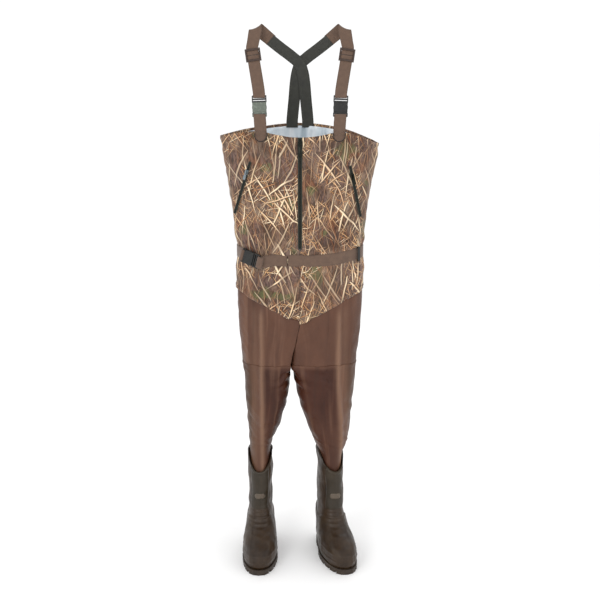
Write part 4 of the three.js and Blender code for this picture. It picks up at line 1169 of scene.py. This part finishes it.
for name, side in SIDES:
    buckle_rise = strap_spot(side, 129, 1562) - strap_spot(side, 126, 1480)
    buckle = local_frame(strap_spot(side, 126.5, 1517), buckle_rise, STRAP_FACE)
    adjuster_at = strap_spot(side, 147, 1683)
    adjuster = local_frame(adjuster_at, adjuster_at - buckle(0, 42), STRAP_FACE)
    strap_tab(name, side, buckle)
    tab_stitches(name, side)
    lower_run(name, buckle, adjuster)
    over_shoulder(name, side, adjuster)


# ---------------------------------------------------------------- belt
BELT_MIDDLE = up(1.05)
BELT_PROUD = 0.0038  # how far the belt's middle stands off the bib
BELT_BUCKLE = np.array([-0.16849, -0.07898, up(1.05007)])
BUCKLE_ALONG = unit((0.831, -0.478, -0.286))
BUCKLE_IN = unit((0.499, 0.867, 0.0))


def ring_knots(first, last, step=4):
    """Points of the belt round the bib between two columns."""
    normal = normals_of(bib, True)
    knots = []
    for c in range(first, last + 1, step):
        k = c % COLUMNS
        rising = bib[:, k, 2]
        z = float(belt_height(np.interp(BELT_MIDDLE, rising, bib[:, k, 1])))
        at = [np.interp(z, rising, bib[:, k, i]) for i in range(2)]
        lean = [np.interp(z, rising, normal[:, k, i]) for i in range(2)]
        knots.append(np.array([*at, z]) + unit((*lean, 0)) * BELT_PROUD)
    knots = np.array(knots)
    knots[:, :2] = blur(knots[:, :2], 1.5, 0, False)
    return list(knots)


def nearest_column(x, y):
    at = bib[np.argmin(np.abs(bib[:, 0, 2] - BELT_MIDDLE))]
    return int(np.argmin(np.hypot(at[:, 0] - x, at[:, 1] - y)))


def in_belt_buckle(*places):
    """Points from (y, z) in millimetres in the belt buckle's own frame."""
    return [BELT_BUCKLE + BUCKLE_IN * y / 1000 + BUCKLE_ALONG * z / 1000 for y, z in places]


def belt():
    """The band from the buckle round the back to the front, and its free end beside the buckle."""
    across = np.cross(BUCKLE_IN, BUCKLE_ALONG)
    across = across * np.sign(across[2])
    begin = nearest_column(-0.040, -0.10)
    ring = ring_knots(begin - COLUMNS, nearest_column(-0.201, -0.031))
    loop = in_belt_buckle((7.4, -24), (6.0, -17.6), (3, -15.4), (-3, -15.4), (-6.0, -17.6), (-7.0, -24))
    widths = [(0, 0, 1)] * len(ring) + [across] * len(loop)
    line, carried = curve_points(ring + loop, STRAP_STEP, widths)
    band = strap("belt_band", line, carried, WEBBING)
    dress(band, "webbing", "bib", "belt_webbing")

    tail = in_belt_buckle((-3.8, 60), (-5.2, 48), (-4.4, 41), (-2.2, 37.4), (2.2, 37.4), (4.4, 41), (6.0, 48))
    ring = ring_knots(nearest_column(-0.080, -0.095) - COLUMNS, begin - COLUMNS, 3)
    widths = [across] * len(tail) + [(0, 0, 1)] * len(ring)
    line, carried = curve_points(tail + ring, STRAP_STEP, widths)
    free_end = strap("belt_end", line, carried, WEBBING)
    dress(free_end, "webbing", None, "belt_tail")
    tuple(in_belt_buckle((0, 50))[0])
    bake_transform(free_end)


def belt_carrier(name, side):
    """A narrow loop sewn on the back, above and below the belt."""
    column = nearest_column(side * 0.178, 0.061)
    at = ring_knots(column - 4, column + 4)[1]
    outward = unit((normals_of(bib, True)[40, column] * np.array([1, 1, 0])))
    half = [(0.0024, 0), (0.0022, 0.014), (0.0014, 0.0205), (-0.0008, 0.024), (-0.0012, 0.031)]  # (out, up)
    whole = [(out, -rise) for out, rise in half[:0:-1]] + half
    knots = [at + outward * out + np.array([0, 0, rise]) for out, rise in whole]
    across = np.cross((0, 0, 1), outward)
    carrier = strap(f"belt_carrier_{name}", curve_points(knots, 0.002), across, WEBBING, width=0.012)
    dress(carrier, "webbing", "bib", f"belt_loop_{name}")


belt()
for name, side in SIDES:
    belt_carrier(name, side)


# ---------------------------------------------------------------- zips
def zip_parts(name, ends, face, tape_width, tooth, tape_back, teeth_back, *replaced):
    """Tape and two rows of teeth between two points. A tooth is (length, pitch)."""
    foot, head = ends
    rising = unit(head - foot)
    across = unit(np.cross(rising, face))
    length = np.linalg.norm(head - foot)
    knots = [foot + face * tape_back + rising * length * t for t in np.linspace(0, 1, 12)]
    line = curve_points(knots, 0.004)
    tape = strap(f"{name}_tape_cloth", line, across, ZIP_TAPE, width=tape_width, thick=0.0011)
    dress(tape, "zip_tape", "bib", *replaced)
    tooth_length, pitch = tooth
    count = int(length / pitch)
    middles = []
    for i in range(count):
        hand = 1 if i % 2 else -1
        aside = across * hand * tooth_length * 0.22
        middles.append(foot + rising * (i + 0.5) * pitch + aside + face * teeth_back)
    size = (tooth_length, pitch * 0.8, 0.0018)
    teeth = beads(f"{name}_teeth_row", middles, [across] * count, [face] * count, size, ZIP_METAL, 0.75)
    dress(teeth, "zip_metal", "bib")


def node_ends(name):
    """The two end points of a long straight node, low end first, and its outward direction."""
    points = np.array([v.co[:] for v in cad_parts[name].data.vertices])
    middle = points.mean(0)
    _, _, axes = np.linalg.svd(points - middle, full_matrices=False)
    run = axes[0] * np.sign(axes[0][2])
    reach = (points - middle) @ run
    face = axes[2] * -np.sign(axes[2][1])
    front = middle + face * ((points - middle) @ face).max()
    return front + run * reach.min(), front + run * reach.max(), unit(face)


TO_THE_HEM = 0.0095  # from the CAD teeth's top to the bib's top edge
low, high, face = node_ends("main_zip_teeth")
high = high + unit(high - low) * TO_THE_HEM
zip_parts("main_zip", (low, high), face, 0.0150, (0.0042, 0.0028), -0.0026, -0.0006,
          "main_zip_tape", "main_zip_teeth")
for name, _ in SIDES:
    node = f"pocket_zip_{name}"
    low, high, face = node_ends(node)
    zip_parts(f"pocket_{name}", (low, high), face, 0.0105, (0.0034, 0.0024), -0.0021, -0.0004, node)


# ---------------------------------------------------------------- boots
ANKLES = {"left": 0.105, "right": -0.137}  # x of each ankle
TOES_OUT = {"left": math.radians(14), "right": 0.0}
BOOT_CELL = 0.0024


def rim_height(y):
    """The boot's rim, in its own frame, which dips at the front."""
    forward = np.clip(-(y - 0.004) / 0.072, 0, 1)
    return 0.362 - 0.060 * forward ** 1.5


def even_shell(name, own_frame, home):
    """The boot's CAD solid as a fine even mesh. The toes' hollow is closed up first, since the wall over
    the instep is thinner than the new mesh's cells."""
    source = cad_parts[f"boot_{name}"].data
    shell = bpy.data.objects.new(f"boot_{name}_shell", source.copy())
    bpy.context.scene.collection.objects.link(shell)
    toes = []
    for v in source.vertices:
        at = own_frame @ (v.co - home)
        if at.y < -0.092 and 0.020 < at.z < 0.120:
            toes.append(v.co.copy())
    centre = sum(toes, Vector()) / len(toes)
    filled = bmesh.new()
    hull_points = [filled.verts.new(centre + (toe - centre) * 0.972) for toe in toes]
    hull = bmesh.ops.convex_hull(filled, input=hull_points)
    unused = hull["geom_interior"] + hull["geom_unused"]
    spare = {part for part in unused if isinstance(part, bmesh.types.BMVert)}
    bmesh.ops.delete(filled, geom=list(spare), context="VERTS")
    filled.from_mesh(shell.data)
    filled.to_mesh(shell.data)
    filled.free()
    remesh = shell.modifiers.new("even", "REMESH")
    remesh.mode = "VOXEL"
    remesh.voxel_size = BOOT_CELL
    soften = shell.modifiers.new("soft", "SMOOTH")
    soften.factor = 0.6
    soften.iterations = 9
    graph = bpy.context.evaluated_depsgraph_get()
    mesh = bpy.data.meshes.new_from_object(shell.evaluated_get(graph))
    shell.modifiers.clear()
    shell.data = mesh
    return shell


def boot_relief(own, lean, side):
    """(how far each point of the outside is pushed out, how far it belongs to the front panel), from its
    place and normal in the boot's own frame, where the toes point along -Y."""
    x, y, z = own.T
    over_sole = smooth(z, 0.03, 0.05)
    push = 0.0008 * value_noise(x + y, z, 0.06, 41 + side)
    # the shaft slumps a little
    push += 0.0026 * smooth(z, 0.150, 0.185) * value_noise(np.arctan2(x, y) * 0.05, z, 0.12, 43 + side)
    # foot shell: it stands out from the shaft above the ankle, with a rolled edge
    middle = np.interp(z, [0.05, 0.10, 0.165], [-0.06, -0.02, 0.004])
    edge = 0.140 + 0.012 * np.cos(np.arctan2(x, -(y - middle)) * 2) - 0.016 * smooth(-y, 0.03, 0.09)
    side_facing = smooth(np.abs(lean[:, 0]) + smooth(lean[:, 1], 0.2, 0.8), 0.25, 0.6)
    push += 0.0024 * smooth(edge - z, -0.002, 0.002) * side_facing * smooth(z, 0.02, 0.05)
    push += 0.0010 * bump(z, edge - 0.003, 0.003) * side_facing
    # ribs over the instep
    instep = smooth(-lean[:, 1] + 0.6 * lean[:, 2], 0.5, 0.9) * bump(x, 0, 0.034)
    for rib in range(6):
        push += 0.0021 * instep * bump(z, 0.098 + 0.0125 * rib, 0.0035)
    # a raised panel up the front of the shaft, with a groove round it
    shaft_front = smooth(-y, 0.02, 0.04) * smooth(z, 0.165, 0.172)
    panel = shaft_front * smooth(0.029 - np.abs(x), -0.002, 0.002)
    push += 0.0012 * panel - 0.0008 * shaft_front * bump(np.abs(x), 0.031, 0.0018)
    # toe cap line, and the foxing band round the sole
    push += 0.0009 * bump(z, 0.060, 0.0022) * over_sole
    push += 0.0016 * smooth(0.040 - z, -0.001, 0.001)
    push += 0.0010 * bump(z, 0.0405, 0.002)
    # the seam up the back, and the bead round the rim
    push += 0.0011 * bump(x, 0, 0.004) * smooth(y, 0.05, 0.07) * over_sole
    push += 0.0016 * smooth(z, rim_height(y) - 0.010, rim_height(y) - 0.006)
    return push, panel


def mesh_tree(points, mesh):
    return BVHTree.FromPolygons([Vector(p) for p in points], [tuple(p.vertices) for p in mesh.polygons])


def boot(name, side):
    """The rubber upper, with its relief moved into the mesh, and the plate on its front."""
    home = Vector((ANKLES[name], 0, FLOOR_Z))
    own_frame = Matrix.Rotation(-TOES_OUT[name], 3, "Z")
    shell = even_shell(name, own_frame, home)
    mesh = shell.data
    co = np.empty(len(mesh.vertices) * 3)
    mesh.vertices.foreach_get("co", co)
    co = co.reshape(-1, 3)
    normal = np.empty_like(co).ravel()
    mesh.vertex_normals.foreach_get("vector", normal)
    normal = normal.reshape(-1, 3)
    turn, home = np.array(own_frame), np.array(home)
    push, panel = boot_relief((co - home) @ turn.T, normal @ turn.T, side)
    # a point lies on the outside when nothing of the boot is in front of it
    tree = mesh_tree(co, mesh)
    clear = [tree.ray_cast(Vector(c + n * 0.002), Vector(n), 0.30)[0] is None for c, n in zip(co, normal)]
    outer = np.array(clear, float)
    co = co + normal * (push * outer)[:, None]
    mesh.vertices.foreach_set("co", co.ravel())
    mesh.materials.clear()
    mesh.materials.append(RUBBER)
    mesh.polygons.foreach_set("use_smooth", [True] * len(mesh.polygons))
    high = np.clip(push * outer / 0.004, 0, 1)
    store(mesh, {"panel": panel * outer, "high": high, "inside": 1 - outer})
    mesh.update()
    dress(shell, "boot_rubber", f"shin_{name}", f"boot_{name}")
    front_plate(name, mesh_tree(co, mesh), np.linalg.inv(turn), home)


def front_plate(name, tree, to_frame, home):
    """A plain plate on the front of the shaft, narrower at its top and bottom, with nothing on it."""
    rows, columns = 13, 21
    ahead = to_frame @ np.array([0, 1, 0])
    grid = np.empty((rows, columns, 3))
    for r, t in enumerate(np.linspace(-1, 1, rows)):
        half = 0.018 * (1 - 0.35 * abs(t) ** 2.5)
        for c, u in enumerate(np.linspace(-1, 1, columns)):
            crown = 0.0011 * (1 - abs(u) ** 8) * (1 - abs(t) ** 6)
            start = home + to_frame @ np.array([u * half, -0.30, 0.2155 + 0.0095 * t])
            hit = tree.ray_cast(Vector(start), Vector(ahead))[0]
            grid[r, c] = np.array(hit) - ahead * (0.0004 + crown)
    plate = cloth(f"badge_{name}", grid, BADGE, thick=0.0012)
    dress(plate, "boot_rubber", f"shin_{name}")


for name, side in SIDES:
    boot(name, side)


# ---------------------------------------------------------------- pieces kept from the frame
def finish_node(name, material, width, segments=2, fatten=0.0):
    """Rounds a carried-over node's edges, fattens it a little if asked, and gives it a material."""
    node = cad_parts[name]
    weld = node.modifiers.new("weld", "WELD")
    weld.merge_threshold = 0.00002
    bevel = node.modifiers.new("edges", "BEVEL")
    bevel.width = width
    bevel.segments = segments
    bevel.limit_method = "ANGLE"
    bevel.angle_limit = math.radians(35)
    if fatten:
        swell = node.modifiers.new("swell", "DISPLACE")
        swell.strength = fatten
        swell.mid_level = 0
    node.data.materials.clear()
    node.data.materials.append(material)


# the wearer's right pocket zip is paler than the left one; the right buckle's socket is a paler grey-green
# copy of the plastic: its own grey-green with a painted highlight
for name, socket_look, zip_look in (("left", PLASTIC, ZIP_METAL), ("right", PLASTIC_FACE_HIGHLIT, SILVER)):
    finish_node(f"buckle_{name}_socket", socket_look, 0.0011, 3)
    for part in ("plug", "arm_a", "arm_b"):
        finish_node(f"buckle_{name}_{part}", PLASTIC, 0.0007, 3)
    finish_node(f"adjuster_{name}", PLASTIC_BROWN, 0.0008, 3, fatten=0.0009)
    for part in ("slider", "pull"):
        finish_node(f"pocket_{name}_{part}", zip_look, 0.0004)
    finish_node(f"outsole_{name}", SOLE, 0.0016)
    finish_node(f"insole_{name}", FOAM, 0.0015)
    finish_node(f"pocket_bag_{name}", POCKET_CLOTH, 0.0005)
for part in ("socket", "plug", "arm_a", "arm_b"):
    finish_node(f"buckle_belt_{part}", PLASTIC, 0.0009, 3)
finish_node("belt_keeper", PLASTIC, 0.0009, 3)
for part in ("slider", "pull"):
    finish_node(f"main_zip_{part}", ZIP_METAL, 0.0004)
finish_node("main_zip_flap", POCKET_CLOTH, 0.0005)
finish_node("crotch_gusset", GUSSET, 0.0008)


# ---------------------------------------------------------------- stage, light and camera
def floor():
    """A pale floor, too wide for its edge to show."""
    half = 30.0
    mesh = bpy.data.meshes.new("floor")
    corners = [(-half, -half, 0), (half, -half, 0), (half, half, 0), (-half, half, 0)]
    mesh.from_pydata(corners, [], [(0, 1, 2, 3)])
    made = bpy.data.objects.new("floor", mesh)
    made.location.z = FLOOR_Z - 0.0005
    bpy.context.scene.collection.objects.link(made)
    paper = Shader("paper")
    grain = paper.noise(paper.place(), 40.0)
    tone = paper.mix(grain, (0.955, 0.955, 0.955, 1), (0.97, 0.97, 0.97, 1))
    mesh.materials.append(paper.finish(tone, 0.9))


def lights():
    """A bright even sky and three soft lamps."""
    world = bpy.data.worlds.new("studio")
    bpy.context.scene.world = world
    world.use_nodes = True
    background = world.node_tree.nodes["Background"]
    background.inputs["Color"].default_value = (1, 1, 1, 1)
    background.inputs["Strength"].default_value = 1.06
    middle = Vector((0, 0, up(0.95)))
    for name, place, size, power in (
        ("key", (-1.6, -3.2, 1.1), 1.2, 34),
        ("fill", (2.4, -2.6, 0.4), 1.6, 14),
        ("back", (0.5, 2.8, 1.2), 2.0, 10),
    ):
        data = bpy.data.lights.new(name, "AREA")
        data.size = size
        data.energy = power
        lamp = bpy.data.objects.new(name, data)
        lamp.location = middle + Vector(place)
        lamp.rotation_euler = (middle - lamp.location).to_track_quat("-Z", "Y").to_euler()
        bpy.context.scene.collection.objects.link(lamp)


def camera():
    """Looks from in front and a little above."""
    distance, height, pitch = 3.25, 1.64, math.radians(13)
    lens = bpy.data.cameras.new("camera")
    lens.lens = 60
    lens.sensor_width = 36
    made = bpy.data.objects.new("camera", lens)
    made.location = (0, -distance, up(height))
    made.rotation_euler = (math.pi / 2 - pitch, 0, 0)
    bpy.context.scene.collection.objects.link(made)
    bpy.context.scene.camera = made


floor()
lights()
camera()
bpy.context.scene.view_settings.view_transform = "Standard"
